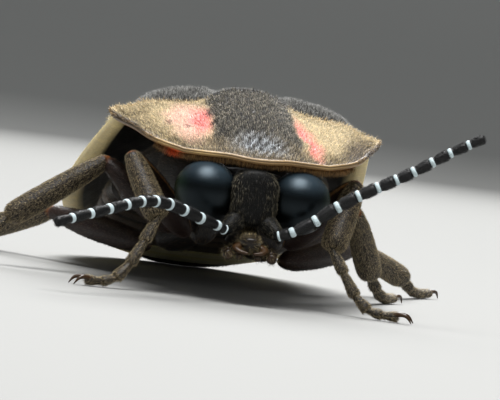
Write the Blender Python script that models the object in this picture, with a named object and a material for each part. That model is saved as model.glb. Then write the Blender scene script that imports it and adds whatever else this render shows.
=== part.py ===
"""A life-size firefly, standing still with its head towards -Y and its feet on the plane z = 0.

Every sub-part is one closed body. Sizes are written in millimetres times MM, and the places of joints
are given in the animal's own frame, with x to its left, y back from the hind edge of the head shield
and z up from the ground. At the end everything moves so that the origin is under the middle.
"""
import bmesh
import bpy
from math import cos, exp, pi, radians, sin, tan
from mathutils import Matrix, Vector

for old in list(bpy.data.objects):
    bpy.data.objects.remove(old, do_unlink=True)

MM = 0.001
GAP = 0.20          # mm, left between neighbouring nodes
FACE_GAP = 0.12     # mm, between the small nodes of the face

# Driving sizes, in millimetres and degrees
SHIELD_LENGTH = 3.15
SHIELD_HALF_WIDTH = 2.62
SHIELD_TAPER = 0.25         # half width lost for each millimetre forward
SHIELD_HUMP = 0.40          # height of the middle hump over the flatter sides
SHIELD_HUMP_WIDTH = 0.72    # from the middle to where the hump has sunk to half
SHIELD_SIDES = 0.14         # height of the flatter sides over the rim
SHIELD_GUTTER = 0.06        # depth of the hollow that runs inside the rim
SHIELD_TILT = 13.0          # the shield slopes down to the front
SHIELD_THICKNESS = 0.28
RIM_THICKNESS = 0.16
RIM_LIFT = 0.02             # of the rim over the line between the hind corners
HINGE_HEIGHT = 3.28         # of the shield's hind corners over the ground

BODY_PITCH = 16.5           # the body behind the shield slopes down to the rear
ELYTRA_LENGTH = 10.3
ELYTRA_START = 0.30
ELYTRA_BASE_HALF_WIDTH = 2.44
SHOULDER_ROUNDING = 0.35    # share of the drop to the margin that is spread over the base
ELYTRA_HALF_WIDTH = 2.92
ELYTRA_FLANGE = 0.10        # share of the width that is the flat outer margin
ELYTRA_TOP = 0.74
ELYTRA_THICKNESS = 0.50
SCUTELLUM_LENGTH = 0.85

FACE_HALF_WIDTH = 0.46      # of the head between the eyes
EYE_RADIUS = 0.575
EYE_FLATTENING = 0.80       # of an eye's upper half, which lies under the shield
EYE_CENTRE = Vector((0.86, -2.62, 1.96))
ANTENNA_RADIUS = 0.235
KNEE_RADIUS = 0.15
ANKLE_RADIUS = 0.17
JOINT_BULGE = 1.18          # a limb is this much thicker just above its end
ROOT_REACH = 0.30           # from a femur's root to its coxa's end
ELYTRA_RIBS = (0.30, 0.58, 0.76)    # places of the three ribs, as shares of the half width
RIB_HEIGHT = 0.045
RIB_WIDTH = 0.09            # share of the half width


def finish(color, roughness, metallic=0.0):
    """A plain material for a sub-part."""
    material = bpy.data.materials.new("finish")
    material.use_nodes = True
    shader = material.node_tree.nodes["Principled BSDF"]
    shader.inputs["Base Color"].default_value = (*color, 1.0)
    shader.inputs["Roughness"].default_value = roughness
    shader.inputs["Metallic"].default_value = metallic
    return material


SHIELD_TAN = finish((0.55, 0.36, 0.20), 0.5)
ELYTRA_GREY = finish((0.06, 0.06, 0.065), 0.5)
EYE_BLACK = finish((0.01, 0.012, 0.02), 0.15)
HEAD_BLACK = finish((0.02, 0.016, 0.014), 0.45)
LEG_BROWN = finish((0.06, 0.03, 0.02), 0.45)
ANTENNA_BLACK = finish((0.012, 0.013, 0.015), 0.5)
MOUTH_AMBER = finish((0.20, 0.10, 0.02), 0.3)
BELLY_BROWN = finish((0.07, 0.045, 0.02), 0.5)
LANTERN_CREAM = finish((0.70, 0.66, 0.42), 0.4)


def mix(a, b, t):
    return a + (b - a) * t


def body_place(x, y, z):
    """A point of the body's frame, which is pitched about the shield's hind edge."""
    pitch = radians(BODY_PITCH)
    return Vector((x, y * cos(pitch) + z * sin(pitch), HINGE_HEIGHT - y * sin(pitch) + z * cos(pitch)))


def add_object(name, bm, material):
    """Turn a bmesh in millimetres into an object in metres with outward faces."""
    bmesh.ops.triangulate(bm, faces=[f for f in bm.faces if len(f.verts) > 4])
    bmesh.ops.recalc_face_normals(bm, faces=bm.faces)
    bmesh.ops.scale(bm, vec=(MM, MM, MM), verts=bm.verts)
    mesh = bpy.data.meshes.new(name)
    bm.to_mesh(mesh)
    bm.free()
    mesh.materials.append(material)
    mesh.shade_smooth()
    mesh.set_sharp_from_angle(angle=radians(40))
    body = bpy.data.objects.new(name, mesh)
    bpy.context.scene.collection.objects.link(body)
    return body


def loft(name, rings, material):
    """A closed body through rings of points, with a flat cap on each end."""
    bm = bmesh.new()
    loops = [[bm.verts.new(p) for p in ring] for ring in rings]
    count = len(loops[0])
    for near, far in zip(loops, loops[1:]):
        for i in range(count):
            j = (i + 1) % count
            bm.faces.new((near[i], near[j], far[j], far[i]))
    bm.faces.new(loops[0])
    bm.faces.new(loops[-1])
    return add_object(name, bm, material)


def plate(name, upper, lower, material):
    """A closed plate between two grids of points, split into triangles alike on both faces."""
    bm = bmesh.new()
    top = [[bm.verts.new(p) for p in row] for row in upper]
    under = [[bm.verts.new(p) for p in row] for row in lower]
    rows, columns = len(top), len(top[0])
    for grid in (top, under):
        for i in range(rows - 1):
            for j in range(columns - 1):
                a, b, c, d = grid[i][j], grid[i][j + 1], grid[i + 1][j + 1], grid[i + 1][j]
                bm.faces.new((a, b, c))
                bm.faces.new((a, c, d))
    border = [(0, j) for j in range(columns - 1)] + [(i, columns - 1) for i in range(rows - 1)]
    border += [(rows - 1, j) for j in range(columns - 1, 0, -1)] + [(i, 0) for i in range(rows - 1, 0, -1)]
    for (i, j), (k, m) in zip(border, border[1:] + border[:1]):
        bm.faces.new((top[i][j], top[k][m], under[k][m], under[i][j]))
    return add_object(name, bm, material)


def oval(centre, half_x, half_z, sides=20, power=2.0):
    """A ring of points round a centre, across the animal; a power over 2 makes it boxier."""
    points = []
    for i in range(sides):
        turn = 2 * pi * i / sides
        c, s = cos(turn), sin(turn)
        dx = half_x * abs(c) ** (2 / power) * (1 if c > 0 else -1)
        dz = half_z * abs(s) ** (2 / power) * (1 if s > 0 else -1)
        points.append(Vector((centre[0] + dx, centre[1], centre[2] + dz)))
    return points


def tube(name, path, radii, material, sides=10, ground=False):
    """A closed limb along a path, with its own radius at each point."""
    path = [Vector(p) for p in path]
    rings = []
    side = None
    for i, point in enumerate(path):
        ahead = path[min(i + 1, len(path) - 1)] - path[max(i - 1, 0)]
        ahead.normalize()
        if side is None:
            side = ahead.orthogonal().normalized()
        side = (side - ahead * side.dot(ahead)).normalized()
        up = ahead.cross(side)
        ring = []
        for k in range(sides):
            turn = 2 * pi * k / sides
            p = point + (side * cos(turn) + up * sin(turn)) * radii[i]
            if ground:
                p.z = max(p.z, 0.0)
            ring.append(p)
        rings.append(ring)
    return loft(name, rings, material)


def fuse(name, pieces):
    """Join overlapping pieces into one closed body and keep only its largest surface."""
    first, others = pieces[0], pieces[1:]
    group = bpy.data.collections.new("helpers")
    for piece in others:
        group.objects.link(piece)
    union = first.modifiers.new("union", "BOOLEAN")
    union.operation = "UNION"
    union.operand_type = "COLLECTION"
    union.collection = group
    union.solver = "EXACT"
    evaluated = first.evaluated_get(bpy.context.evaluated_depsgraph_get())
    joined = bpy.data.meshes.new_from_object(evaluated)
    first.modifiers.clear()
    first.data = joined
    for piece in others:
        bpy.data.objects.remove(piece, do_unlink=True)
    bpy.data.collections.remove(group)
    keep_largest(joined)
    first.name = name
    return first


def keep_largest(mesh):
    """Delete every closed surface of a mesh but the one with the most faces."""
    bm = bmesh.new()
    bm.from_mesh(mesh)
    left = set(bm.faces)
    shells = []
    while left:
        shell = {left.pop()}
        edge_of_shell = list(shell)
        while edge_of_shell:
            face = edge_of_shell.pop()
            for edge in face.edges:
                for other in edge.link_faces:
                    if other in left:
                        left.remove(other)
                        shell.add(other)
                        edge_of_shell.append(other)
        shells.append(shell)
    shells.sort(key=len)
    scrap = [face for shell in shells[:-1] for face in shell]
    bmesh.ops.delete(bm, geom=scrap, context="FACES")
    bm.to_mesh(mesh)
    bm.free()


# The head shield, or pronotum
def shield_half_width(t):
    """Half width at a share t of the way from the hind edge to the front."""
    return (SHIELD_HALF_WIDTH - SHIELD_TAPER * SHIELD_LENGTH * t) * (1 - t ** 8) ** 0.45


def shield_place(u, t, below=0.0):
    """A point of the shield: u runs from -1 to 1 across, t from 0 behind to 1 in front."""
    tilt = radians(SHIELD_TILT)
    x = u * shield_half_width(t)
    hump = SHIELD_HUMP / (1 + (x / SHIELD_HUMP_WIDTH) ** 4) * (1 - t ** 2.4)
    sides = SHIELD_SIDES * (1 - abs(u) ** 5) * (1 - t ** 3)
    gutter = SHIELD_GUTTER * exp(-((max(abs(u), t) - 0.84) / 0.08) ** 2)
    dome = RIM_LIFT + hump + sides - gutter
    along = -SHIELD_LENGTH * t + 0.12 * u * u
    return Vector((x, along * cos(tilt), HINGE_HEIGHT + along * sin(tilt) + dome - below))


def make_pronotum():
    """The domed shield with its thinner rim."""
    steps = [sin(pi / 2 * (i / 12 - 1)) for i in range(25)]
    rows = [0, 0.1, 0.2, 0.3, 0.4, 0.5, 0.6, 0.69, 0.77, 0.84, 0.90, 0.945, 0.975, 0.99]
    upper = [[shield_place(u, t) for u in steps] for t in rows]
    lower = []
    for t in rows:
        row = []
        for u in steps:
            inside = (1 - abs(u) ** 3) * (1 - t ** 3)
            row.append(shield_place(u, t, mix(RIM_THICKNESS, SHIELD_THICKNESS, inside)))
        lower.append(row)
    return plate("pronotum", upper, lower, SHIELD_TAN)


def make_prosternum():
    """The block of the thorax under the shield, with the front coxae."""
    stations = [
        (-0.95, 1.00, 1.60, 2.62), (-0.75, 1.35, 1.50, 2.74), (-0.35, 1.60, 1.45, 2.84), (-0.05, 1.55, 1.50, 2.88),
    ]
    rings = [oval((0, y, (low + high) / 2), half, (high - low) / 2, 20, 2.6) for y, half, low, high in stations]
    pieces = [loft("block", rings, BELLY_BROWN)]
    for side in (-1, 1):
        path = [(0.55 * side, -0.50, 1.95), (0.60 * side, -0.65, 1.45), (0.66 * side, -0.78, 1.05)]
        pieces.append(tube("coxa", path, [0.42, 0.40, 0.22], BELLY_BROWN))
    return fuse("prosternum", pieces)


# The head
def make_head():
    """A narrow face between the eyes, a wider back of the head, and the bosses of the feelers."""
    stations = [
        (-3.24, 0.33, 1.56, 2.22), (-3.17, 0.42, 1.47, 2.31), (-2.95, 0.45, 1.44, 2.36),
        (-2.50, FACE_HALF_WIDTH, 1.42, 2.40), (-1.98, FACE_HALF_WIDTH, 1.42, 2.42), (-1.78, 0.85, 1.46, 2.43),
        (-1.46, 0.92, 1.55, 2.45), (-1.15, 0.80, 1.70, 2.40),
    ]
    rings = [oval((0, y, (low + high) / 2), half, (high - low) / 2, 20, 2.3) for y, half, low, high in stations]
    pieces = [loft("skull", rings, HEAD_BLACK)]
    for side in (-1, 1):
        path = [(0.20 * side, -2.78, 1.60), (0.32 * side, -3.00, 1.45), (0.40 * side, -3.12, 1.38)]
        pieces.append(tube("boss", path, [0.22, 0.20, 0.15], HEAD_BLACK))
    return fuse("head", pieces)


def make_eye(name, side):
    """A ball cut flat where it meets the head, and pressed flatter under the shield."""
    rings = []
    reach = EYE_CENTRE.x - FACE_HALF_WIDTH - FACE_GAP
    sides = 20
    steps = 9
    start = -reach / EYE_RADIUS
    for i in range(steps):
        along = mix(start, 0.985, i / (steps - 1))
        radius = EYE_RADIUS * (1 - along * along) ** 0.5
        ring = []
        for k in range(sides):
            turn = 2 * pi * k / sides
            x = side * (EYE_CENTRE.x + along * EYE_RADIUS)
            rise = radius * sin(turn)
            if rise > 0:
                rise *= EYE_FLATTENING
            ring.append(Vector((x, EYE_CENTRE.y + radius * cos(turn), EYE_CENTRE.z + rise)))
        rings.append(ring)
    return loft(name, rings, EYE_BLACK)


def make_mouthparts():
    """The lip plate, two curved mandibles and four palps, fused at their roots."""
    stations = [
        (-3.46, 0.13, 1.04, 1.24), (-3.30, 0.19, 0.97, 1.27), (-3.00, 0.22, 0.92, 1.18), (-2.70, 0.20, 0.93, 1.15),
    ]
    lip = [oval((0, y, (low + high) / 2), half, (high - low) / 2, 12, 2.4) for y, half, low, high in stations]
    pieces = [loft("lip", lip, MOUTH_AMBER)]
    for side in (-1, 1):
        jaw = [
            (0.12 * side, -3.15, 1.10), (0.26 * side, -3.32, 1.03), (0.20 * side, -3.46, 0.96),
            (0.06 * side, -3.52, 0.94),
        ]
        pieces.append(tube("jaw", jaw, [0.12, 0.10, 0.07, 0.03], MOUTH_AMBER, 8))
        outer = [
            (0.14 * side, -2.92, 1.04), (0.37 * side, -3.10, 0.96), (0.43 * side, -3.32, 0.92),
            (0.38 * side, -3.46, 0.86),
        ]
        pieces.append(tube("palp", outer, [0.12, 0.13, 0.13, 0.05], MOUTH_AMBER, 8))
        inner = [(0.08 * side, -2.90, 1.02), (0.16 * side, -3.10, 0.92), (0.17 * side, -3.28, 0.84)]
        pieces.append(tube("palp", inner, [0.11, 0.10, 0.04], MOUTH_AMBER, 8))
    return fuse("mouthparts", pieces)


# The joints of each feeler, from its root to its tip
ANTENNA_JOINTS = {
    "right": [
        (-0.50, -3.36, 1.31), (-0.63, -3.45, 1.37), (-0.98, -3.78, 1.47), (-1.33, -4.12, 1.59), (-1.64, -4.45, 1.68),
        (-1.92, -4.78, 1.72), (-2.19, -5.10, 1.70), (-2.46, -5.39, 1.63), (-2.77, -5.66, 1.53), (-3.10, -5.91, 1.42),
        (-3.43, -6.14, 1.31), (-3.75, -6.36, 1.20),
    ],
    "left": [
        (0.46, -3.36, 1.31), (0.66, -3.42, 1.39), (1.06, -3.45, 1.64), (1.42, -3.48, 1.94), (1.77, -3.50, 2.19),
        (2.10, -3.52, 2.39), (2.42, -3.54, 2.57), (2.71, -3.57, 2.75), (3.02, -3.60, 2.96), (3.32, -3.63, 3.17),
        (3.63, -3.67, 3.36), (3.92, -3.72, 3.53),
    ],
}


def make_antenna(side_name):
    """Eleven slightly clubbed segments, pinched where they join."""
    joints = [Vector(p) for p in ANTENNA_JOINTS[side_name]]
    path, radii = [], []
    for i, (root, tip) in enumerate(zip(joints, joints[1:])):
        full = ANTENNA_RADIUS * (0.80 if i == 0 else 1.0) * (1 - 0.045 * max(0, i - 3))
        for share, width in ((0.0, 0.76), (0.25, 0.95), (0.82, 1.0)):
            path.append(root.lerp(tip, share))
            radii.append(full * width)
    path.append(joints[-1])
    radii.append(0.07)
    return tube("antenna_" + side_name, path, radii, ANTENNA_BLACK, 8)


# The elytra, or wing covers
def elytron_half_width(t):
    """Half width at a share t of the way from the base to the tip."""
    swell = mix(ELYTRA_BASE_HALF_WIDTH, ELYTRA_HALF_WIDTH, sin(min(t / 0.6, 1.0) * pi / 2))
    return swell * (1 - max(0.0, (t - 0.45) / 0.56) ** 2.6) ** 0.5


def elytron_height(x, t):
    """Height of the outer face over the body's axis plane."""
    crown = mix(ELYTRA_TOP, 0.50, max(0.0, (t - 0.55) / 0.45) ** 2)
    edge = mix(-0.07, -0.12, t)
    share = x / elytron_half_width(t)
    on_dome = min(1.0, share / (1 - ELYTRA_FLANGE))
    ribs = sum(max(0.0, 1 - abs(share - place) / RIB_WIDTH) for place in ELYTRA_RIBS)
    shoulder = mix(on_dome ** 8, on_dome ** 2, SHOULDER_ROUNDING)
    drop = mix(shoulder, on_dome ** 2.5, min(t / 0.3, 1.0))
    return mix(crown, edge, drop) + RIB_HEIGHT * ribs * min(1.0, 6 * t * (1 - t))


def make_elytron(name, side):
    """One wing cover with three low ribs, open under its rim."""
    columns = [0.0, 0.15, 0.30, 0.44, 0.58, 0.68, 0.76, 0.84, 0.90, 1.0]
    rows = [0, 0.04, 0.09, 0.16, 0.25, 0.35, 0.45, 0.55, 0.65, 0.74, 0.82, 0.89, 0.94, 0.975, 0.995]
    upper, lower = [], []
    for t in rows:
        top, under = [], []
        half = elytron_half_width(t)
        for share in columns:
            x = mix(GAP / 2, half, share)
            notch = SCUTELLUM_LENGTH * max(0.0, 1 - x / 0.85) * (1 - t)
            y = ELYTRA_START + notch + ELYTRA_LENGTH * t
            z = elytron_height(x, t)
            lean = min(1.0, share / (1 - ELYTRA_FLANGE)) ** 4
            thick = ELYTRA_THICKNESS * mix(1.0, 0.68, t)
            inner = max(GAP / 2, x - thick * 0.75 * lean)
            top.append(body_place(side * x, y, z))
            under.append(body_place(side * inner, y - (0.1 * t if t > 0.9 else 0), z - thick * mix(1.0, 0.55, lean)))
        upper.append(top)
        lower.append(under)
    return plate(name, upper, lower, ELYTRA_GREY)


def make_scutellum():
    """The small triangle between the bases of the wing covers."""
    start = ELYTRA_START - 0.02
    rings = []
    for t in (0.0, 0.5, 0.95):
        half = 0.52 * (1 - t) + 0.04
        y = start + t * (SCUTELLUM_LENGTH - GAP)
        ring = [(-half, y, 0.70), (half, y, 0.70), (half, y, 0.30), (-half, y, 0.30)]
        rings.append([body_place(*p) for p in ring])
    return loft("scutellum", rings, ELYTRA_GREY)


# The thorax and abdomen under the wing covers
def belly_ring(y, half, low, high):
    """A ring of the trunk in the body's frame, from its half width and its lowest and highest points."""
    return [body_place(p.x, p.y, p.z) for p in oval((0, y, (low + high) / 2), half, (high - low) / 2, 24, 2.3)]


def make_pterothorax():
    """The thorax that carries the wings, with the middle and hind coxae."""
    stations = [
        (0.66, 1.32, -1.15, -0.02), (1.00, 1.66, -1.34, 0.0), (1.8, 1.96, -1.55, 0.0), (2.8, 2.03, -1.50, 0.0),
        (3.45, 2.00, -1.35, 0.0),
    ]
    pieces = [loft("block", [belly_ring(*s) for s in stations], BELLY_BROWN)]
    for side in (-1, 1):
        middle = [(0.60 * side, 1.10, -1.10), (0.75 * side, 1.00, -1.55), (0.80 * side, 0.92, -1.80)]
        pieces.append(tube("coxa", [body_place(*p) for p in middle], [0.45, 0.42, 0.22], BELLY_BROWN))
        hind = [(0.30 * side, 2.95, -1.30), (0.75 * side, 3.00, -1.55), (1.05 * side, 3.02, -1.72)]
        pieces.append(tube("coxa", [body_place(*p) for p in hind], [0.34, 0.36, 0.22], BELLY_BROWN))
    return fuse("pterothorax", pieces)


def abdomen_half_width(y):
    """Half width of the abdomen at a distance back from the shield, widest at 5 mm."""
    return 2.22 * (1 - max(0.0, (y - 5.0) / 5.35) ** 2.2) ** 0.6


def abdomen_low(y):
    """Height of the belly in the body's frame."""
    return mix(-1.25, -0.42, (y - 3.6) / 6.8)


def abdomen_high(y):
    """Height of the abdomen's back, which stays clear of the wing covers."""
    return mix(-0.04, -0.20, ((y - 3.6) / 6.8) ** 2)


def make_abdomen(name, bounds, material):
    """A run of abdomen segments, each a little wider at its hind edge."""
    rings = []
    for start, end in zip(bounds, bounds[1:]):
        for share, step in ((0.0, 0.955), (0.3, 0.985), (0.97, 1.0)):
            y = mix(start, end, share)
            rings.append(belly_ring(y, abdomen_half_width(y) * step, abdomen_low(y) * step, abdomen_high(y) - 0.6 * (1 - step)))
    return loft(name, rings, material)


# Joints of each leg: root of the femur, knee, ankle, then the path of the foot to its end
LEG_JOINTS = {
    "front_right": [
        (-0.95, -0.98, 1.05), (-2.20, -1.75, 2.42), (-1.66, -2.50, 1.38), (-1.92, -2.68, 0.80), (-2.20, -2.84, 0.30),
        (-2.50, -2.96, 0.12), (-2.86, -3.06, 0.11),
    ],
    "front_left": [
        (0.95, -0.98, 1.05), (1.98, -1.75, 2.38), (1.60, -2.48, 1.18), (1.90, -2.70, 0.66), (2.20, -2.86, 0.24),
        (2.50, -2.98, 0.11), (2.86, -3.08, 0.11),
    ],
    "middle_right": [
        (-1.05, 0.42, 1.06), (-2.47, 0.86, 2.20), (-4.20, 0.60, 0.92), (-4.62, 0.52, 0.46), (-4.92, 0.46, 0.15),
        (-5.22, 0.40, 0.11), (-5.58, 0.32, 0.11),
    ],
    "middle_left": [
        (1.05, 0.42, 1.06), (2.42, 1.10, 1.80), (3.10, 2.60, 0.56), (3.34, 3.02, 0.24), (3.52, 3.38, 0.12),
        (3.66, 3.70, 0.11), (3.80, 4.05, 0.11),
    ],
    "hind_right": [
        (-1.32, 2.55, 0.62), (-3.12, 4.85, 0.98), (-4.28, 6.72, 0.42), (-4.50, 7.20, 0.18), (-4.66, 7.58, 0.12),
        (-4.80, 7.96, 0.11), (-4.95, 8.34, 0.11),
    ],
    "hind_left": [
        (1.32, 2.55, 0.62), (3.06, 4.88, 0.98), (4.36, 6.60, 0.42), (4.62, 7.06, 0.18), (4.80, 7.42, 0.12),
        (4.98, 7.78, 0.11), (5.16, 8.14, 0.11),
    ],
}
LEG_GIRTH = {"front": 1.06, "middle": 1.0, "hind": 1.0}


def shortened(start, end, near, far):
    """The two ends of a limb, drawn in by a length at each end."""
    start, end = Vector(start), Vector(end)
    along = (end - start).normalized()
    return start + along * near, end - along * far


def joint_reach(before, joint, after, radius):
    """How far two limbs of one radius stop short of the joint between them, so that they keep the gap."""
    to_before = Vector(before) - Vector(joint)
    to_after = Vector(after) - Vector(joint)
    return GAP / 2 + JOINT_BULGE * radius / tan(to_before.angle(to_after) / 2)


def make_femur(leg, joints, girth):
    start, end = shortened(joints[0], joints[1], ROOT_REACH, joint_reach(*joints[0:3], KNEE_RADIUS))
    shares = (0.0, 0.12, 0.35, 0.62, 0.86, 1.0)
    radii = [0.20, 0.26, 0.32, 0.31, 0.25, KNEE_RADIUS]
    return tube("femur_" + leg, [start.lerp(end, s) for s in shares], [r * girth for r in radii], LEG_BROWN)


def make_tibia(leg, joints, girth):
    knee = joint_reach(*joints[0:3], KNEE_RADIUS)
    ankle = joint_reach(*joints[1:4], ANKLE_RADIUS)
    start, end = shortened(joints[1], joints[2], knee, ankle)
    shares = (0.0, 0.10, 0.40, 0.75, 0.95, 1.0)
    radii = [KNEE_RADIUS, 0.22, 0.25, 0.265, 0.25, ANKLE_RADIUS]
    return tube("tibia_" + leg, [start.lerp(end, s) for s in shares], [r * girth for r in radii], LEG_BROWN)


def make_foot(leg, joints, girth):
    """Five lobed foot segments that lie down onto the ground, and two claws."""
    ankle = joint_reach(*joints[1:4], ANKLE_RADIUS)
    path_joints = [shortened(joints[2], joints[3], ankle, 0)[0]] + [Vector(p) for p in joints[3:]]
    path, radii = [], []
    for i, (root, tip) in enumerate(zip(path_joints, path_joints[1:])):
        full = 0.235 * girth * (1 - 0.03 * i)
        for share, width in ((0.0, 0.74), (0.30, 0.90), (0.80, 1.0)):
            path.append(root.lerp(tip, share))
            radii.append(full * width)
    path.append(path_joints[-1])
    radii.append(0.15)
    pieces = [tube("foot", path, radii, LEG_BROWN, 10, ground=True)]
    ahead = (path_joints[-1] - path_joints[-2]).normalized()
    across = ahead.cross(Vector((0, 0, 1))).normalized()
    for side in (-1, 1):
        root = path_joints[-1] - ahead * 0.10 + across * 0.06 * side + Vector((0, 0, 0.03))
        bend = root + ahead * 0.26 + across * 0.08 * side + Vector((0, 0, 0.03))
        tip = bend + ahead * 0.14 + across * 0.03 * side - Vector((0, 0, 0.10))
        pieces.append(tube("claw", [root, bend, tip], [0.065, 0.055, 0.02], MOUTH_AMBER, 6, ground=True))
    return fuse("tarsus_" + leg, pieces)


make_pronotum()
make_prosternum()
make_head()
make_eye("eye_left", 1)
make_eye("eye_right", -1)
make_mouthparts()
make_antenna("left")
make_antenna("right")
make_scutellum()
make_elytron("elytron_left", 1)
make_elytron("elytron_right", -1)
make_pterothorax()
make_abdomen("abdomen", (3.68, 4.5, 5.4, 6.3, 7.15), BELLY_BROWN)
make_abdomen("lantern", (7.36, 8.25, 9.1), LANTERN_CREAM)
make_abdomen("abdomen_tip", (9.3, 9.65, 9.95), BELLY_BROWN)
for leg, joints in LEG_JOINTS.items():
    girth = LEG_GIRTH[leg.split("_")[0]]
    make_femur(leg, joints, girth)
    make_tibia(leg, joints, girth)
    make_foot(leg, joints, girth)

# The origin moves to the middle of the footprint
corners = [v.co for body in bpy.context.scene.objects for v in body.data.vertices]
across = [c.x for c in corners]
along = [c.y for c in corners]
middle = Vector(((min(across) + max(across)) / 2, (min(along) + max(along)) / 2, 0))
for body in bpy.context.scene.objects:
    body.data.transform(Matrix.Translation(-middle))
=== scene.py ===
# %% [markdown]
# A firefly at life size, seen head on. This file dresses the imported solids: it loads them as a fixed
# frame, sets up the camera and the light, and then makes each visible piece of the beetle finer than
# its solid, with its colours, its surface and its coat of fine hairs.

# %% Load the frame
import bmesh
import bpy
import numpy as np
from math import cos, pi, radians, sin
from mathutils import Matrix, Vector


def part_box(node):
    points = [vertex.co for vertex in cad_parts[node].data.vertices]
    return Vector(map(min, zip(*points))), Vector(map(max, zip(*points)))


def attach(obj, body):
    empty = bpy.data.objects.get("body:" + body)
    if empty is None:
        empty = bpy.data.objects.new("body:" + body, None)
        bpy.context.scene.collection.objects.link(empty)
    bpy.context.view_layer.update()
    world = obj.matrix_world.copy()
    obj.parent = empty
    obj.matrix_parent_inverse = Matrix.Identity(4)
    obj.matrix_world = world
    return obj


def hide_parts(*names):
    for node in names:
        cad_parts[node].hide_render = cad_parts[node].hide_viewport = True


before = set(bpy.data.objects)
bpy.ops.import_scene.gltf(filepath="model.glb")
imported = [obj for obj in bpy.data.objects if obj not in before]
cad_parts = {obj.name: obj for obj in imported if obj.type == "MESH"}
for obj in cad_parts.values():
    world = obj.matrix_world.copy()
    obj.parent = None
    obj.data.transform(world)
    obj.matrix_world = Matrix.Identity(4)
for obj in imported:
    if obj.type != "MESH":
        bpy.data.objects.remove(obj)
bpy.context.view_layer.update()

MM = 0.001

# %% [markdown]
# The solids were designed in millimetres, with x to the beetle's left, y back from the hind edge of
# the head shield and z up from the ground. Two boxes of the frame tell where that design stands now.

# %% The design's own place in the frame
EYE_CENTRE = np.array([0.86, -2.62, 1.96])
eye_low, eye_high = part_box("eye_left")
shield_low, shield_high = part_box("pronotum")
middle_x = (shield_low[0] + shield_high[0]) / 2
middle_y = (eye_low[1] + eye_high[1]) / 2 - EYE_CENTRE[1] * MM
ORIGIN = np.array([middle_x, middle_y, 0.0])
print("design origin, mm", np.round(ORIGIN / MM, 3))


def place(x, y, z):
    """A point of the design, in metres of the frame."""
    return Vector(ORIGIN + np.array([x, y, z]) * MM)


# %% [markdown]
# The photo looks at the face from 75 mm away, a little from the beetle's right side and almost level
# with it. The picture leans, so the camera rolls.

# %% Camera
AIM = place(0.09, -1.50, 1.857)
DISTANCE = 75 * MM
AZIMUTH, ELEVATION, ROLL = radians(-6.5), radians(1.5), radians(7.2)
FIELD = 500 * 0.0185 * MM
back = Vector((sin(AZIMUTH) * cos(ELEVATION), -cos(AZIMUTH) * cos(ELEVATION), sin(ELEVATION)))
camera_data = bpy.data.cameras.new("camera")
camera_data.sensor_width = 36
camera_data.lens = 36 * DISTANCE / FIELD
camera_data.clip_start = 0.001
camera_data.clip_end = 10
camera = bpy.data.objects.new("camera", camera_data)
bpy.context.scene.collection.objects.link(camera)
turn = back.to_track_quat("Z", "Y").to_matrix().to_4x4() @ Matrix.Rotation(ROLL, 4, "Z")
camera.matrix_world = Matrix.Translation(AIM + back * DISTANCE) @ turn
bpy.context.scene.camera = camera
bpy.context.scene.view_settings.view_transform = "Standard"
print("lens", round(camera_data.lens, 1), "mm")

# %% [markdown]
# A museum lights such a model softly. One broad lamp hangs over the face, as the sky does in the photo,
# and gives each eye its pale spot under the rim. A weaker one fills from the front, and one from
# behind makes the hairs on the outline shine.

# %% Light
def add_light(name, spot, size, power, mirrored=True):
    """A soft round lamp that points at the face."""
    data = bpy.data.lights.new(name, "AREA")
    data.shape = "DISK"
    data.size = size
    data.energy = power
    lamp = bpy.data.objects.new(name, data)
    bpy.context.scene.collection.objects.link(lamp)
    aim = (AIM - Vector(spot)).to_track_quat("-Z", "Y").to_matrix().to_4x4()
    lamp.matrix_world = Matrix.Translation(spot) @ aim
    lamp.visible_glossy = mirrored
    return lamp


add_light("sky", place(-12, -26, 120), 0.08, 0.235)
add_light("front", place(60, -110, 60), 0.14, 0.045, mirrored=False)
add_light("rear", place(20, 110, 90), 0.10, 0.20)
world = bpy.data.worlds.new("studio")
bpy.context.scene.world = world
world.use_nodes = True
world.node_tree.nodes["Background"].inputs["Color"].default_value = (0.80, 0.84, 0.86, 1)
world.node_tree.nodes["Background"].inputs["Strength"].default_value = 0.26
print("three lamps")

# %% [markdown]
# The floor is a round sheet that curves up at its edge, like a photographer's backdrop. It is darker
# near the beetle than at its edge.

# %% Floor
SWEEP_SIDES = 96
SWEEP = [(0.001, 0.0), (0.16, 0.0), (0.24, 0.008), (0.32, 0.035), (0.40, 0.09), (0.46, 0.17), (0.50, 0.28)]
SWEEP_GREYS = [0.30, 0.31, 0.40, 0.55, 0.70, 0.75, 0.75]
turns = np.linspace(0, 2 * pi, SWEEP_SIDES, endpoint=False)
corners = [(reach * cos(a), reach * sin(a), height) for reach, height in SWEEP for a in turns]
one_ring = [(k, (k + 1) % SWEEP_SIDES) for k in range(SWEEP_SIDES)]
sides = [(k, after, SWEEP_SIDES + after, SWEEP_SIDES + k) for k, after in one_ring]
rings = range(len(SWEEP) - 1)
faces = [tuple(index + SWEEP_SIDES * ring for index in side) for ring in rings for side in sides]
middle = tuple(range(SWEEP_SIDES - 1, -1, -1))
floor_mesh = bpy.data.meshes.new("floor")
floor_mesh.from_pydata(corners, [], faces + [middle])
floor_mesh.shade_smooth()
floor = bpy.data.objects.new("floor", floor_mesh)
bpy.context.scene.collection.objects.link(floor)
grey_level = np.repeat(SWEEP_GREYS, SWEEP_SIDES)
grey_colours = np.stack([grey_level, grey_level, 0.97 * grey_level, np.ones_like(grey_level)], axis=-1)
grey = floor_mesh.color_attributes.new("grey", "FLOAT_COLOR", "POINT")
grey.data.foreach_set("color", grey_colours.ravel())
floor_paint = bpy.data.materials.new("pale floor")
floor_paint.use_nodes = True
grey_node = floor_paint.node_tree.nodes.new("ShaderNodeVertexColor")
grey_node.layer_name = "grey"
floor_shader = floor_paint.node_tree.nodes["Principled BSDF"]
floor_paint.node_tree.links.new(grey_node.outputs["Color"], floor_shader.inputs["Base Color"])
floor_shader.inputs["Roughness"].default_value = 0.8
floor.data.materials.append(floor_paint)
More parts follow.
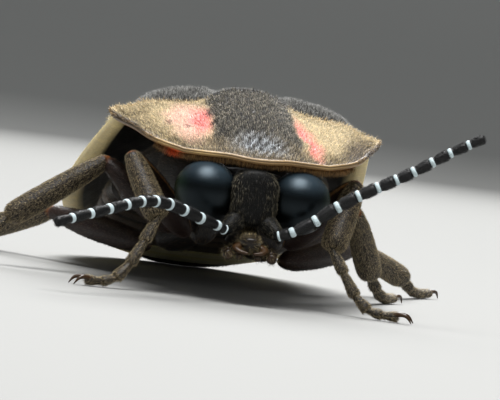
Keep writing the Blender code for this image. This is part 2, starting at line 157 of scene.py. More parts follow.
print("floor of", len(corners), "points")

# %% [markdown]
# Materials are easier to read as sums than as wires. A Value stands for one socket, and each sign
# between Values adds the node that works it out.

# %% Values
class Value:
    """One socket of a material, used like a number."""

    def __init__(self, look, socket):
        self.look = look
        self.socket = socket

    def sum(self, operation, first, second=0.0):
        return self.look.add("ShaderNodeMath", {"operation": operation}, {0: first, 1: second})

    def __add__(self, other):
        return self.sum("ADD", self, other)

    def __radd__(self, other):
        return self.sum("ADD", other, self)

    def __sub__(self, other):
        return self.sum("SUBTRACT", self, other)

    def __mul__(self, other):
        return self.sum("MULTIPLY", self, other)

    def __rmul__(self, other):
        return self.sum("MULTIPLY", other, self)


print("Value is defined")

# %% [markdown]
# A Look is one material. Its nodes are added by one method, and its shader is fed by another.

# %% Looks
class Look:
    """A material whose shader is fed by Values."""

    def __init__(self, name, **constants):
        self.material = bpy.data.materials.new(name)
        self.material.use_nodes = True
        self.tree = self.material.node_tree
        self.shader = self.tree.nodes["Principled BSDF"]
        for socket, value in constants.items():
            self.shader.inputs[socket.replace("_", " ")].default_value = value

    def add(self, kind, settings=None, values=None, output=0):
        """Any node: its settings come first, then what goes into its sockets."""
        node = self.tree.nodes.new(kind)
        for key, value in (settings or {}).items():
            setattr(node, key, value)
        for key, value in (values or {}).items():
            self.join(value, node.inputs[key])
        return Value(self, node.outputs[output])

    def join(self, value, socket):
        if isinstance(value, Value):
            self.tree.links.new(value.socket, socket)
        else:
            socket.default_value = value

    def feed(self, socket, value):
        self.join(value, self.shader.inputs[socket])

    def dim(self, colour, value):
        """A colour made lighter or darker."""
        return self.add("ShaderNodeVectorMath", {"operation": "SCALE"}, {0: colour, "Scale": value})

    def where(self):
        return self.add("ShaderNodeTexCoord", output="Object")

    def noise(self, size, detail=3.0):
        """Soft clouds whose lumps have this size in millimetres, from 0 to 1."""
        values = {"Vector": self.where(), "Scale": 1 / (size * MM), "Detail": detail}
        return self.add("ShaderNodeTexNoise", None, values)

    def grains(self, size):
        """Distance from the nearest of many points that lie this far apart, in millimetres."""
        return self.add("ShaderNodeTexVoronoi", None, {"Vector": self.where(), "Scale": 1 / (size * MM)})

    def bump(self, height, depth):
        """A bumpy surface, with the depth in millimetres."""
        values = {"Strength": 1.0, "Distance": depth * MM, "Height": height}
        self.feed("Normal", self.add("ShaderNodeBump", None, values))


def rgb(red, green, blue):
    """A colour as a paint chart gives it, from 0 to 255, turned into the light it sends back."""
    share = np.array([red, green, blue]) / 255
    return np.where(share < 0.04045, share / 12.92, ((share + 0.055) / 1.055) ** 2.4)


print("grey of 128 is", rgb(128, 128, 128).round(3))

# %% [markdown]
# Every surface here is a grid of points that a formula gives, so that one Skin can hold several grids:
# their points, the quads between them, the colour at each point, the colour and the lie of the hairs
# that grow there, and the point's place on a flat map of the skin.

# %% Helpers for skins
rng = np.random.default_rng(11)


def unit(vectors):
    return vectors / np.maximum(np.linalg.norm(vectors, axis=-1, keepdims=True), 1e-12)


def smooth(low, high, value):
    """From 0 at low to 1 at high, with soft ends."""
    share = np.clip((value - low) / (high - low), 0, 1)
    return share * share * (3 - 2 * share)


def make_object(name, points, faces, tints, places, material):
    """An object from arrays, with a colour for each point and a place on the map for each corner."""
    mesh = bpy.data.meshes.new(name)
    points = ORIGIN + points * MM
    corners = np.concatenate([f.ravel() for f in faces])
    sizes = np.concatenate([np.full(len(f), f.shape[1]) for f in faces])
    mesh.vertices.add(len(points))
    mesh.vertices.foreach_set("co", points.ravel())
    mesh.loops.add(len(corners))
    mesh.loops.foreach_set("vertex_index", corners)
    mesh.polygons.add(len(sizes))
    mesh.polygons.foreach_set("loop_start", np.cumsum(sizes) - sizes)
    mesh.update(calc_edges=True)
    mesh.validate()
    mesh.shade_smooth()
    flat_map = mesh.uv_layers.new(name="OFBake")
    flat_map.data.foreach_set("uv", places[corners].ravel())
    colours = mesh.color_attributes.new("tint", "FLOAT_COLOR", "POINT")
    colours.data.foreach_set("color", np.column_stack([tints, np.ones(len(tints))]).ravel())
    mesh.materials.append(material)
    piece = bpy.data.objects.new(name, mesh)
    bpy.context.scene.collection.objects.link(piece)
    return piece


print("smooth goes from", smooth(0, 1, 0.1), "to", smooth(0, 1, 0.9))

# %% [markdown]
# A Skin keeps its grids in lists until it is whole. Then each list becomes one array, the normals are
# worked out, and the object can be made.

# %% The Skin class
class Skin:
    """Grids of points that make one surface, and what grows on them."""

    def __init__(self):
        self.points, self.quads, self.fans = [], [], []
        self.tints, self.downs, self.lies, self.places, self.hairy = [], [], [], [], []
        self.count = 0

    def add(self, grid, tint, down=None, lie=None, hairy=1.0, places=None, wrap=True, band=(0, 1)):
        """Add a grid of rows along the piece. If wrap is set, its columns go round and its ends close."""
        rows, columns, _ = grid.shape
        first = self.count
        row = np.arange(rows - 1)[:, None]
        column = np.arange(columns if wrap else columns - 1)[None, :]
        after = (column + 1) % columns
        near = first + row * columns
        far = near + columns
        quads = np.stack([near + column, near + after, far + after, far + column], axis=-1)
        self.quads.append(quads.reshape(-1, 4))
        if places is None:
            along = band[0] + (band[1] - band[0]) * np.linspace(0.02, 0.98, rows)
            around = np.linspace(0, 1, columns)
            places = np.stack(np.broadcast_arrays(around[None, :], along[:, None]), axis=-1)
        if lie is None:
            lie = np.gradient(grid, axis=0)
        fill = [
            (self.points, grid), (self.tints, tint), (self.downs, tint if down is None else down),
            (self.lies, lie), (self.places, places), (self.hairy, np.asarray(hairy, float)[..., None]),
        ]
        widths = (3, 3, 3, 3, 2, 1)
        for (store, values), width in zip(fill, widths):
            store.append(np.broadcast_to(values, (rows, columns, width)).reshape(-1, width))
        self.count += rows * columns
        if wrap:
            self.cap(first, columns, False)
            self.cap(first + (rows - 1) * columns, columns, True)
        return self

    def cap(self, first, columns, flip):
        """Close the end of a grid with a fan of triangles round a point in its middle."""
        ring = first + np.arange(columns)
        points = np.concatenate(self.points)[first:first + columns]
        for store in (self.tints, self.downs, self.lies, self.places, self.hairy):
            store.append(np.concatenate(store)[first:first + columns].mean(axis=0, keepdims=True))
        self.points.append(points.mean(axis=0, keepdims=True))
        after = np.roll(ring, -1)
        middle = np.full(columns, self.count)
        fan = [middle, ring, after] if flip else [middle, after, ring]
        self.fans.append(np.stack(fan, axis=-1))
        self.count += 1

    def whole(self):
        """Join what was added, and work out the normals."""
        for name in ("points", "quads", "tints", "downs", "lies", "places", "hairy"):
            setattr(self, name, np.concatenate(getattr(self, name)))
        self.fans = [np.concatenate(self.fans)] if self.fans else []
        a, b, c, d = (self.points[self.quads[:, k]] for k in range(4))
        self.face_normals = np.cross(c - a, d - b) / 2
        self.normals = np.zeros_like(self.points)
        for k in range(4):
            np.add.at(self.normals, self.quads[:, k], self.face_normals)
        self.normals = unit(self.normals)
        return self

    def piece(self, name, look, slot, *nodes):
        """Make the object and let it stand for these nodes."""
        faces = [self.quads, *self.fans]
        made = make_object(name, self.points, faces, self.tints, self.places, look.material)
        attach(made, "root")
        if nodes:
            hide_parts(*nodes)
        tents = np.concatenate([self.quads[:, [0, 1, 2]], self.quads[:, [0, 2, 3]], *self.fans])
        a, b, c = (self.points[tents[:, k]] for k in range(3))
        volume = (a * np.cross(b, c)).sum() / 6
        print(name, len(self.points), "points,", round(volume, 3), "cubic mm")
        assert volume > 0, "inside out"
        return made


# %% [markdown]
# The beetle's down is made of thousands of single hairs. Each is a spike with three sides, sunk in the
# skin at its root. It has a bend halfway, or is straight where a coat says bent=False. A hair takes its
# place, its lie and its colour from a random spot of the skin, and all its map corners stay in a small
# patch at that spot's own place on the map.

# %% Hairs
SPIKE_ROOT = np.array([[2, 1, 0]])
BENT_SIDES = np.array([[0, 1, 4, 3], [1, 2, 5, 4], [2, 0, 3, 5]])
BENT_TIP = np.array([[3, 4, 6], [4, 5, 6], [5, 3, 6]])
STRAIGHT_SIDES = np.array([[0, 1, 3], [1, 2, 3], [2, 0, 3]])
MAP_PATCH = np.array([[0, 0], [1, 0], [0.5, 1], [0.2, 0.2], [0.8, 0.2], [0.5, 0.8], [0.5, 0.5]]) * 0.003
BENT_TRIANGLES, STRAIGHT_TRIANGLES = 10, 4
LEAST_HEIGHT = 0.007


def grow(skin, name, look, count, length, width, lift=(25, 10), stray=0.25, spread=0.4, bent=True):
    """A coat of hairs on a skin. Lift is the angle to the skin at a hair's root and near its tip."""
    area = np.linalg.norm(skin.face_normals, axis=1)
    weight = area * skin.hairy[skin.quads, 0].mean(axis=1)
    faces = rng.choice(len(area), count, p=weight / weight.sum())
    across, along = rng.random((2, count, 1))
    left, near = 1 - across, 1 - along
    share = np.stack([left * near, across * near, across * along, left * along], axis=1)
    corners = skin.quads[faces]

    def at(values):
        return (values[corners] * share).sum(axis=1)

    root, tint, spot = at(skin.points), at(skin.downs), at(skin.places)
    normal = unit(at(skin.normals))
    lie = unit(at(skin.lies)) + stray * rng.normal(size=(count, 3))
    lie = unit(lie - normal * (lie * normal).sum(axis=1, keepdims=True))
    reach = length * rng.uniform(0.65, 1.2, (count, 1))
    lifts = np.radians(np.array(lift)[:, None, None] * rng.uniform(0.6, 1.4, (2, count, 1)))
    bend = root + 0.5 * reach * (np.cos(lifts[0]) * lie + np.sin(lifts[0]) * normal)
    tip = bend + 0.5 * reach * (np.cos(lifts[1]) * lie + np.sin(lifts[1]) * normal)
    side = np.cross(normal, lie)
    sunk = root - normal * width
    for part in (sunk, bend, tip):
        part[:, 2] = np.maximum(part[:, 2], LEAST_HEIGHT)
    rings = []
    bases = ((sunk, 0.5 * width), (bend, 0.42 * width)) if bent else ((sunk, 0.5 * width),)
    for base, radius in bases:
        for turn in (0.5 * pi, 0.5 * pi + 2 * pi / 3, 0.5 * pi + 4 * pi / 3):
            rings.append(base + radius * (cos(turn) * side + sin(turn) * normal))
    points = np.stack(rings + [tip], axis=1)
    each = points.shape[1]
    shift = np.arange(count)[:, None, None] * each
    kinds = (BENT_SIDES, BENT_TIP, SPIKE_ROOT) if bent else (STRAIGHT_SIDES, SPIKE_ROOT)
    parts = [(part[None] + shift).reshape(-1, part.shape[1]) for part in kinds]
    patch = MAP_PATCH if bent else MAP_PATCH[[0, 1, 2, 6]]
    paleness = tint.mean(axis=1, keepdims=True)
    shine = 1 + spread * (0.1 + (1 - paleness) ** 2) * (2.2 * rng.random((count, 1)) ** 1.6 - 0.9)
    tints = np.repeat(np.minimum(tint * shine, 1), each, axis=0)
    places = (spot[:, None, :] + patch[None]).reshape(-1, 2)
    made = make_object(name, points.reshape(-1, 3), parts, tints, places, look.material)
    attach(made, "root")
    triangles = BENT_TRIANGLES if bent else STRAIGHT_TRIANGLES
    print(name, count, "hairs,", count * triangles, "triangles")
    return made


# %% [markdown]
# A beetle's shell is thin horn. It is never one flat colour: the tint set at each point is broken up
# by soft clouds, and fine pits, one for each hair, roughen the light on it. Hairs share one simple
# look, a little glossy, since a hair is mostly seen by the light on its side.

# %% Shell and hair looks
def shell_look(name, roughness, pit_size, pit_depth, cloud_size=0.35, contrast=0.5, **constants):
    """Horn with the piece's own tint, clouded and pitted."""
    look = Look(name, **constants)
    tint = look.add("ShaderNodeVertexColor", {"layer_name": "tint"})
    clouds = look.noise(cloud_size)
    grain = look.grains(pit_size)
    shade = (1 - contrast) + contrast * (clouds + 0.5) * (grain * 0.4 + 0.8)
    look.feed("Base Color", look.dim(tint, shade))
    look.feed("Roughness", roughness - 0.15 + 0.3 * clouds)
    look.bump(grain + 0.5 * look.noise(pit_size * 2.5), pit_depth)
    return look


def hair_look(name, roughness=0.45):
    """Hairs that keep the tint of the skin's down."""
    look = Look(name, Roughness=roughness, Specular_IOR_Level=0.4)
    tint = look.add("ShaderNodeVertexColor", {"layer_name": "tint"})
    look.feed("Base Color", look.dim(tint, 1.7 * look.noise(0.03, 1.0) + 0.15))
    return look


shield_horn = shell_look("shield horn", 0.42, 0.035, 0.004)
down_hair = hair_look("down")
print("looks:", shield_horn.material.name, down_hair.material.name)

# %% [markdown]
# The head shield covers the head like the brim of a hat. It is set up in its own plane, with x across
# and s forward from its hind edge, and laid down in the design afterwards. Rings of points run from
# its middle to its outline, close together near the rim, where the fine double edge is.

# %% The shield's outline and height
SHIELD_LENGTH, SHIELD_HALF_WIDTH, SHIELD_TAPER = 3.15, 2.62, 0.25
SHIELD_HUMP, SHIELD_HUMP_WIDTH, SHIELD_SIDES, SHIELD_GUTTER = 0.40, 0.72, 0.14, 0.06
SHIELD_TILT, HINGE_HEIGHT, RIM_LIFT, CORNER_DROOP = radians(13), 3.28, 0.02, 0.13
SHIELD_MIDDLE = np.array([0.0, 1.35])


def shield_half_width(t):
    return (SHIELD_HALF_WIDTH - SHIELD_TAPER * SHIELD_LENGTH * t) * (1 - t ** 8) ** 0.45


def shield_height(x, s):
    """Height of the upper face over the shield's plane."""
    t = np.clip(s / SHIELD_LENGTH, 0, 0.99)
    u = np.clip(np.abs(x) / shield_half_width(t), 0, 1)
    t = np.clip((s + 0.12 * u * u) / SHIELD_LENGTH, 0, 0.99)
    u = np.clip(np.abs(x) / shield_half_width(t), 0, 1)
    hump = SHIELD_HUMP / (1 + (x / SHIELD_HUMP_WIDTH) ** 4) * (1 - t ** 2.4)
    sides = SHIELD_SIDES * (1 - u ** 5) * (1 - t ** 3)
    gutter = SHIELD_GUTTER * np.exp(-((np.maximum(u, t) - 0.84) / 0.08) ** 2)
    droop = CORNER_DROOP * smooth(0.72, 1.0, u) ** 1.5 * (1 - smooth(0.1, 1.7, s))
    return RIM_LIFT + hump + sides - gutter - droop


def lay_shield(x, s, z):
    """From the shield's plane into the design."""
    return np.stack([x, -s * cos(SHIELD_TILT), HINGE_HEIGHT - s * sin(SHIELD_TILT) + z], axis=-1)


def even_steps(line, count):
    """Points at even steps along a closed line."""
    line = np.concatenate([line, line[:1]])
    run = np.concatenate([[0], np.cumsum(np.linalg.norm(np.diff(line, axis=0), axis=1))])
    steps = np.linspace(0, run[-1], count, endpoint=False)
    return np.stack([np.interp(steps, run, line[:, k]) for k in (0, 1)], axis=-1)


t = np.linspace(0, 0.99, 120)
side_line = np.stack([shield_half_width(t), SHIELD_LENGTH * t - 0.12], axis=-1)
u = np.linspace(1, -1, 41)[1:-1]
front_line = np.stack([u * shield_half_width(0.99), SHIELD_LENGTH * 0.99 - 0.12 * u * u], axis=-1)
hind_line = np.stack([-u * SHIELD_HALF_WIDTH, -0.12 * u * u], axis=-1)
outline = even_steps(np.concatenate([side_line, front_line, side_line[::-1] * [-1, 1], hind_line]), 640)
for _ in range(40):
    outline = (np.roll(outline, 1, axis=0) + 2 * outline + np.roll(outline, -1, axis=0)) / 4
RIM_REACH = 0.035
outward = np.roll(outline, -1, axis=0) - np.roll(outline, 1, axis=0)
outward = unit(np.stack([outward[:, 1], -outward[:, 0]], axis=-1))
if (outward * (outline - SHIELD_MIDDLE)).sum() < 0:
    outward = -outward
outline = outline - RIM_REACH * outward
print("outline", outline.min(axis=0).round(2), outline.max(axis=0).round(2))

# %% [markdown]
# The markings are drawn as soft shapes in the same plane: a dark band down the middle, a rose patch on
# each side of it, a frosted field in front, tan sides and a brown hem along the rim. The skin takes
# the darker and richer colours, and the down over it the paler ones, in the same places.

# %% Helpers for markings
def wobble(x, s, size):
    """A gentle irregular wave, from about -1 to 1."""
    one = np.sin(x / size * 2.1 + s / size * 1.3)
    two = np.sin(x / size * -1.7 + s / size * 2.9 + 1)
    three = np.sin(s / size * 4.3 + x / size * 0.7 + 2)
    return (one + two + three) / 2.2


def mixed(one, other, share):
    return one + (np.asarray(other) - one) * share[..., None]


def spot_share(x, s, middle, size, lean=0.0, soft=0.5):
    """A soft leaning oval: 1 inside and 0 outside."""
    dx = x - middle[0] - lean * (s - middle[1])
    away = np.hypot(dx / size[0], (s - middle[1]) / size[1])
    return 1 - smooth(1 - soft, 1 + soft * 0.4, away)


print("wobble stays within", round(float(np.abs(wobble(np.arange(900.0), 0, 0.45)).max()), 2))

# %% [markdown]
# Each marking has a function that lays it over the colours painted so far.

# %% Painting the shield
def paint_sides(x, s, rim, ripple):
    """Tan sides with a brown hem along the rim and a darker front."""
    skin = np.broadcast_to(rgb(176, 146, 96), x.shape + (3,))
    down = np.broadcast_to(rgb(212, 194, 156), x.shape + (3,))
    hem = 1 - smooth(0.12, 0.60, rim + ripple)
    hem = hem * smooth(-0.1, 0.5, s)
    skin = mixed(skin, rgb(90, 71, 48), 0.9 * hem)
    down = mixed(down, rgb(154, 136, 100), 0.85 * hem)
    front = smooth(2.0, 2.6, s + ripple) * (1 - smooth(1.0, 1.7, np.abs(x)))
    skin = mixed(skin, rgb(84, 68, 52), 0.85 * front)
    down = mixed(down, rgb(158, 142, 114), 0.8 * front)
    return skin, down


def paint_roses(x, s, ripple, skin, down):
    """A broad rose patch on the right and a narrow one on the left, each redder at its heart, and a painted
    highlight on the broad one.
    """
    for side, middle, size, lean, down_rose in (
        (-1, (-1.17, 1.35), (0.46, 1.18), 0.03, rgb(246, 206, 188)),
        (1, (1.02, 1.75), (0.17, 1.15), 0.17, rgb(236, 172, 150)),
    ):
        rose = spot_share(x + ripple, s, middle, size, lean, 0.45)
        core_middle = (middle[0] - 0.43 * side * size[0], middle[1] + 0.05)
        core_size = (size[0] * 0.50 + 0.035, size[1] * 0.66)
        core = spot_share(x + ripple, s, core_middle, core_size, lean, 0.7)
        skin = mixed(skin, rgb(244, 168, 152), 0.9 * rose)
        skin = mixed(skin, rgb(240, 104, 108), 0.9 * core)
        down = mixed(down, down_rose, 0.85 * rose)
        down = mixed(down, rgb(244, 132, 124), 0.85 * core)
    # A pale pink highlight is painted on the broad right rose patch.
    painted_rose_highlight = spot_share(x, s, (-1.20, 0.95), (0.16, 0.38), 0.0, 0.8)
    skin = mixed(skin, rgb(250, 205, 200), 0.7 * painted_rose_highlight)
    for middle in ((-1.22, 1.71), (-1.56, 1.48)):
        dot = spot_share(x, s, middle, (0.045, 0.13), 0.0, 0.7)
        skin = mixed(skin, rgb(90, 30, 30), 0.9 * dot)
        down = mixed(down, rgb(120, 50, 48), 0.8 * dot)
    return skin, down


def paint_band(x, s, ripple, skin, down):
    """The dark band down the middle, with pale flecks and a fine keel."""
    edge = np.where(x < 0, 0.79, 0.70 + 0.05 * s)
    band = 1 - smooth(-0.07, 0.07, np.abs(x) + ripple * 0.8 - edge)
    band = band * (1 - 0.85 * smooth(2.15, 2.75, s + ripple))
    skin = mixed(skin, rgb(20, 18, 16), 0.98 * band)
    flecks = smooth(-0.1, 0.8, wobble(x + 5, s, 0.06) + 0.6 * wobble(s, x + 1, 0.041))
    down = mixed(down, rgb(24, 22, 19), 0.97 * band)
    down = mixed(down, rgb(156, 148, 130), 0.9 * band * flecks)
    keel = (1 - smooth(0.0, 0.03, np.abs(x + 0.11 + 0.02 * wobble(x, s, 0.5)))) * band
    return skin, mixed(down, rgb(60, 52, 50), 0.6 * keel)


def paint_frost(x, s, skin, down):
    """The frosted field in front of the band, of white and black hairs, and the grey left corner."""
    frost = spot_share(x, s, (0.04, 2.62), (0.60, 0.38), 0.0, 0.7)
    specks = smooth(-0.1, 0.6, wobble(x + 3, s, 0.055) + 0.6 * wobble(s + 2, x, 0.033))
    skin = mixed(skin, rgb(24, 22, 22), 0.95 * frost)
    down = mixed(down, rgb(236, 242, 248), 0.97 * frost * specks)
    down = mixed(down, rgb(32, 31, 31), 0.9 * frost * (1 - specks))
    corner = spot_share(x, s, (1.98, 1.75), (0.34, 1.25), -0.22, 0.7)
    skin = mixed(skin, rgb(84, 72, 62), 0.75 * corner)
    down = mixed(down, rgb(118, 104, 86), 0.85 * corner)
    return skin, down


def paint_rim(s, rim, skin):
    """Fine lines along the front rim: a pale lip, a dark groove and a golden bead."""
    forward = smooth(1.5, 2.7, s)
    lip = np.exp(-((rim - 0.125) / 0.028) ** 2) * forward
    groove = np.exp(-((rim - 0.07) / 0.020) ** 2) * forward
    bead = (1 - smooth(0.03, 0.05, rim)) * forward
    skin = mixed(skin, rgb(150, 126, 90), 0.6 * lip)
    skin = mixed(skin, rgb(44, 32, 22), 0.9 * groove)
    return mixed(skin, rgb(160, 130, 86), 0.9 * bead)


def paint_shield(x, s, rim):
    """Colours of the skin and of the down at points of the shield that lie this far inside its rim."""
    ripple = 0.06 * wobble(x, s, 0.45) + 0.025 * wobble(x, s, 0.13)
    skin, down = paint_sides(x, s, rim, ripple)
    skin, down = paint_roses(x, s, ripple, skin, down)
    skin, down = paint_band(x, s, ripple, skin, down)
    skin, down = paint_frost(x, s, skin, down)
    return paint_rim(s, rim, skin), down


rose_heart = paint_shield(np.array([-0.97]), np.array([1.4]), np.array([1.0]))[0]
print("skin at the heart of the right rose", rose_heart.round(2))

# %% [markdown]
# The shield's skin is its upper face, its edge and its under side, ring after ring. The down over it
# is long and thin, and the nap under that is short, and darker where the down is dark.

# %% The shield's skin
def ring_shares():
    """Shares of the way from the middle to the outline, closest at the rim."""
    return np.concatenate([np.linspace(0.02, 0.85, 40), np.linspace(0.85, 1.0, 22)[1:]])


def inside_rim(x, s):
    """Distance of each point to the nearest point of the outline."""
    flat = np.stack([x.ravel(), s.ravel()], axis=-1)
    nearest = []
    for part in np.array_split(flat, 40):
        away = ((part[:, None] - outline[None]) ** 2).sum(axis=-1)
        nearest.append(np.sqrt(away.min(axis=1)))
    return np.concatenate(nearest).reshape(x.shape)


shares = ring_shares()
plan = SHIELD_MIDDLE + shares[:, None, None] * (outline - SHIELD_MIDDLE)[None]
x, s = plan[..., 0], plan[..., 1]
rim = inside_rim(x, s)
bead_rise = 0.020 * np.exp(-(rim / 0.035) ** 2) - 0.018 * np.exp(-((rim - 0.075) / 0.028) ** 2)
upper = lay_shield(x, s, shield_height(x, s) + bead_rise)
skin_tint, down_tint = paint_shield(x, s, rim)

frontness = smooth(0.6, 2.4, outline[:, 1])
rim_thickness = 0.105 - 0.025 * frontness
turns = np.linspace(0, pi, 12)[1:-1, None]
groove = 0.014 * np.exp(-((turns - 1.5) / 0.3) ** 2)
bulge = (RIM_REACH * np.sin(turns) - groove)[..., None] * outward
drop = rim_thickness * (1 - np.cos(turns)) / 2
edge_plan = outline + bulge
edge_height = shield_height(outline[:, 0], outline[:, 1]) + 0.02
edge = lay_shield(edge_plan[..., 0], edge_plan[..., 1], edge_height - drop)
edge_dark = np.exp(-((turns - 1.35) / 0.22) ** 2) * np.ones(len(outline))
golden = smooth(1.5, 2.7, outline[:, 1]) * np.ones_like(turns)
worn = 0.5 + 0.5 * wobble(outline[:, 0], outline[:, 1], 0.35) * np.ones_like(turns)
gold = mixed(np.broadcast_to(rgb(172, 142, 92), edge.shape), rgb(112, 86, 58), 0.8 * worn)
edge_tint = mixed(skin_tint[-1], gold, golden)
edge_tint = mixed(edge_tint, rgb(50, 34, 22), 0.9 * edge_dark * golden)

under_shares = shares[::-3]
plan = SHIELD_MIDDLE + under_shares[:, None, None] * (outline - SHIELD_MIDDLE)[None]
x, s = plan[..., 0], plan[..., 1]
under_rim = inside_rim(x, s)
hem_drop = 0.055 * frontness * np.exp(-((under_rim - 0.17) / 0.08) ** 2)
depth = rim_thickness + (0.24 - rim_thickness) * smooth(0.0, 1.2, under_rim) + hem_drop
under = lay_shield(x, s, shield_height(x, s) - depth)
# The underside is painted golden near the rim, as light coming through the thin edge, and painted darker
# further in, as the shade under the shield.
painted_glow_gold = np.broadcast_to(rgb(158, 112, 66), under.shape)
under_tint = mixed(painted_glow_gold, rgb(46, 26, 17), smooth(0.22, 0.75, under_rim))
# A red-orange glow is painted under the right front corner of the rim, as light shining through the edge.
painted_glow_spot = np.exp(-((x + 1.50) / 0.16) ** 2 - ((s - 2.55) / 0.30) ** 2)
under_tint = mixed(under_tint, rgb(250, 110, 60), 0.9 * painted_glow_spot)

shield = Skin()
every_ring = np.concatenate([upper, edge, under])
tints = np.concatenate([skin_tint, edge_tint, under_tint])
under_down = mixed(under_tint, rgb(120, 80, 50), np.full(under_rim.shape, 0.3))
downs = np.concatenate([down_tint, edge_tint, under_down])
rosy = np.maximum(down_tint[..., 0] - down_tint[..., 1] - 0.18, 0) * 1.6
hairy = (smooth(0.0, 0.07, rim) * 0.8 + 0.2) * (1 - np.minimum(rosy, 0.6))
hind_hair = (1 - golden) * (turns < 1.6)
hairy = np.concatenate([hairy, hind_hair, np.zeros(under.shape[:2])])
outer_places = np.stack([0.5 + every_ring[..., 0] / 5.6, 0.06 - every_ring[..., 1] / 3.6], axis=-1)
outer_places[len(upper) + len(edge):] *= [1, -1]
outer_places[len(upper) + len(edge):] += [0, 1]
backward_and_out = every_ring * [0.22, 0, 0] + [0, cos(SHIELD_TILT), sin(SHIELD_TILT)]
shield.add(every_ring, tints, downs, backward_and_out, hairy, outer_places).whole()
print("shield normals up:", shield.normals[:len(outline) * 10, 2].mean().round(2))
shield.piece("shield_skin", shield_horn, "shield", "pronotum")
grow(shield, "shield_down", down_hair, 19900, 0.115, 0.0100, (28, 12), 0.28, spread=1.3)
paleness = shield.downs.mean(axis=1, keepdims=True)
shield.downs = shield.downs * (0.30 + 0.70 * smooth(0.20, 0.45, paleness))
grow(shield, "shield_nap", down_hair, 48000, 0.060, 0.009, (30, 26), 0.38, spread=1.1, bent=False)

# %% [markdown]
# Under the front rim hangs a fringe of stiff short hairs, golden near the rim and dark at the eyes, with a
# painted orange glow at the right corner. A strip of the shield's underside carries them, so they need no
# skin of their own.

# %% The fringe over the eyes
fringe = Skin()
along_front = np.flatnonzero(outline[:, 1] > 2.2)
fringe_rows = np.flatnonzero((under_rim.mean(axis=1) > 0.03) & (under_rim.mean(axis=1) < 0.30))
strip = under[fringe_rows][:, along_front]
hang = np.broadcast_to([0.0, -0.30, -1.0], strip.shape)
gold_share = rng.random(strip.shape[:2])
fringe_down = mixed(np.broadcast_to(rgb(52, 38, 24), strip.shape), rgb(206, 160, 104), gold_share)
# The fringe hairs under the right front corner are painted red-orange, as light shining through them.
fringe_down = mixed(fringe_down, rgb(250, 96, 44), 0.9 * np.exp(-((strip[..., 0] + 1.52) / 0.11) ** 2))
fringe_places = outer_places[len(upper) + len(edge):][fringe_rows][:, along_front]
fringe.add(strip, fringe_down, fringe_down, hang, 1.0, fringe_places, wrap=False).whole()
grow(fringe, "shield_fringe", down_hair, 5000, 0.13, 0.008, (75, 65), 0.25, spread=0.8)

# %% [markdown]
# The other parts are limbs and trunks: rings set along a path. A few stations give the path and the
# half width and height at each, and a smooth run through them gives as many rings as the shape needs.

# %% Limbs and trunks
def flow(stations, count):
    """A smooth run of rows through a few rows of numbers."""
    rows = np.asarray(stations, float)
    last = len(rows) - 1
    run = np.linspace(0, last, count)
    k = np.minimum(run.astype(int), last - 1)
    f = (run - k)[:, None]
    a, b, c, d = rows[np.maximum(k - 1, 0)], rows[k], rows[k + 1], rows[np.minimum(k + 2, last)]
    bent = (2 * a - 5 * b + 4 * c - d) * f ** 2
    return 0.5 * (2 * b + (c - a) * f + bent + (3 * b - a - 3 * c + d) * f ** 3)


def limb(stations, sides=20, rows=40, up=(0, 0, 1)):
    """Rings through stations of x, y, z, half width and half height."""
    rings = flow(stations, rows)
    path, wide, high = rings[:, :3], rings[:, 3], rings[:, 4]
    ahead = unit(np.gradient(path, axis=0))
    side = unit(np.cross(ahead, up))
    top = np.cross(side, ahead)
    turn = -np.linspace(0, 2 * pi, sides, endpoint=False)[None, :, None]
    across = wide[:, None, None] * np.cos(turn) * side[:, None]
    return path[:, None] + across + high[:, None, None] * np.sin(turn) * top[:, None]


def trunk(stations, sides=64, rows=60, power=2.3, pitched=False):
    """Rings across the beetle through stations of y, half width, lowest and highest point."""
    y, half, low, high = flow(stations, rows).T[:, :, None]
    turn = -np.linspace(0, 2 * pi, sides, endpoint=False)
    c, s = np.cos(turn), np.sin(turn)
    x = half * np.sign(c) * np.abs(c) ** (2 / power)
    z = (low + high) / 2 + (high - low) / 2 * np.sign(s) * np.abs(s) ** (2 / power)
    grid = np.stack(np.broadcast_arrays(x, y, z), axis=-1)
    return pitch(grid) if pitched else grid


BODY_PITCH = radians(16.5)


def pitch(points):
    """From the frame of the body, which slopes down behind the shield, into the design."""
    x, y, z = np.moveaxis(points, -1, 0)
    back = y * cos(BODY_PITCH) + z * sin(BODY_PITCH)
    return np.stack([x, back, HINGE_HEIGHT - y * sin(BODY_PITCH) + z * cos(BODY_PITCH)], axis=-1)


print("a limb has rings like", limb([(0, 0, 0, 1, 1), (0, 1, 0, 1, 1)], 8, 5).shape)

# %% [markdown]
# Each eye is a ball of some thousands of lenses in rows. An icosahedron is divided evenly, and the
# middles of its small triangles are the corners of six-sided lenses, whose own middles stand a little
# higher. The light then breaks into fine dots, as it does on the real eye.

# %% The lenses of an eye
EYE_RADIUS, EYE_STRETCH, EYE_DIVISIONS, LENS_RISE, DOME_SHARE = 0.575, (0.98, 1.06), 22, 0.0032, 0.6


def divided_ball(divisions):
    """Points of an evenly divided icosahedron, blown up to a ball, and its triangles."""
    bm = bmesh.new()
    bmesh.ops.create_icosphere(bm, subdivisions=1, radius=1)
    points, index, triangles = [], {}, []
    for face in bm.faces:
        a, b, c = (np.array(v.co) for v in face.verts)
        number = {}
        for i in range(divisions + 1):
            for j in range(divisions + 1 - i):
                spot = unit(a * (divisions - i - j) + b * i + c * j)
                key = tuple(np.round(spot, 5) + 0.0)
                if key not in index:
                    index[key] = len(points)
                    points.append(spot)
                number[i, j] = index[key]
        for i in range(divisions):
            for j in range(divisions - i):
                triangles.append((number[i, j], number[i + 1, j], number[i, j + 1]))
                if i + j < divisions - 1:
                    triangles.append((number[i + 1, j], number[i + 1, j + 1], number[i, j + 1]))
    bm.free()
    return np.array(points), np.array(triangles)


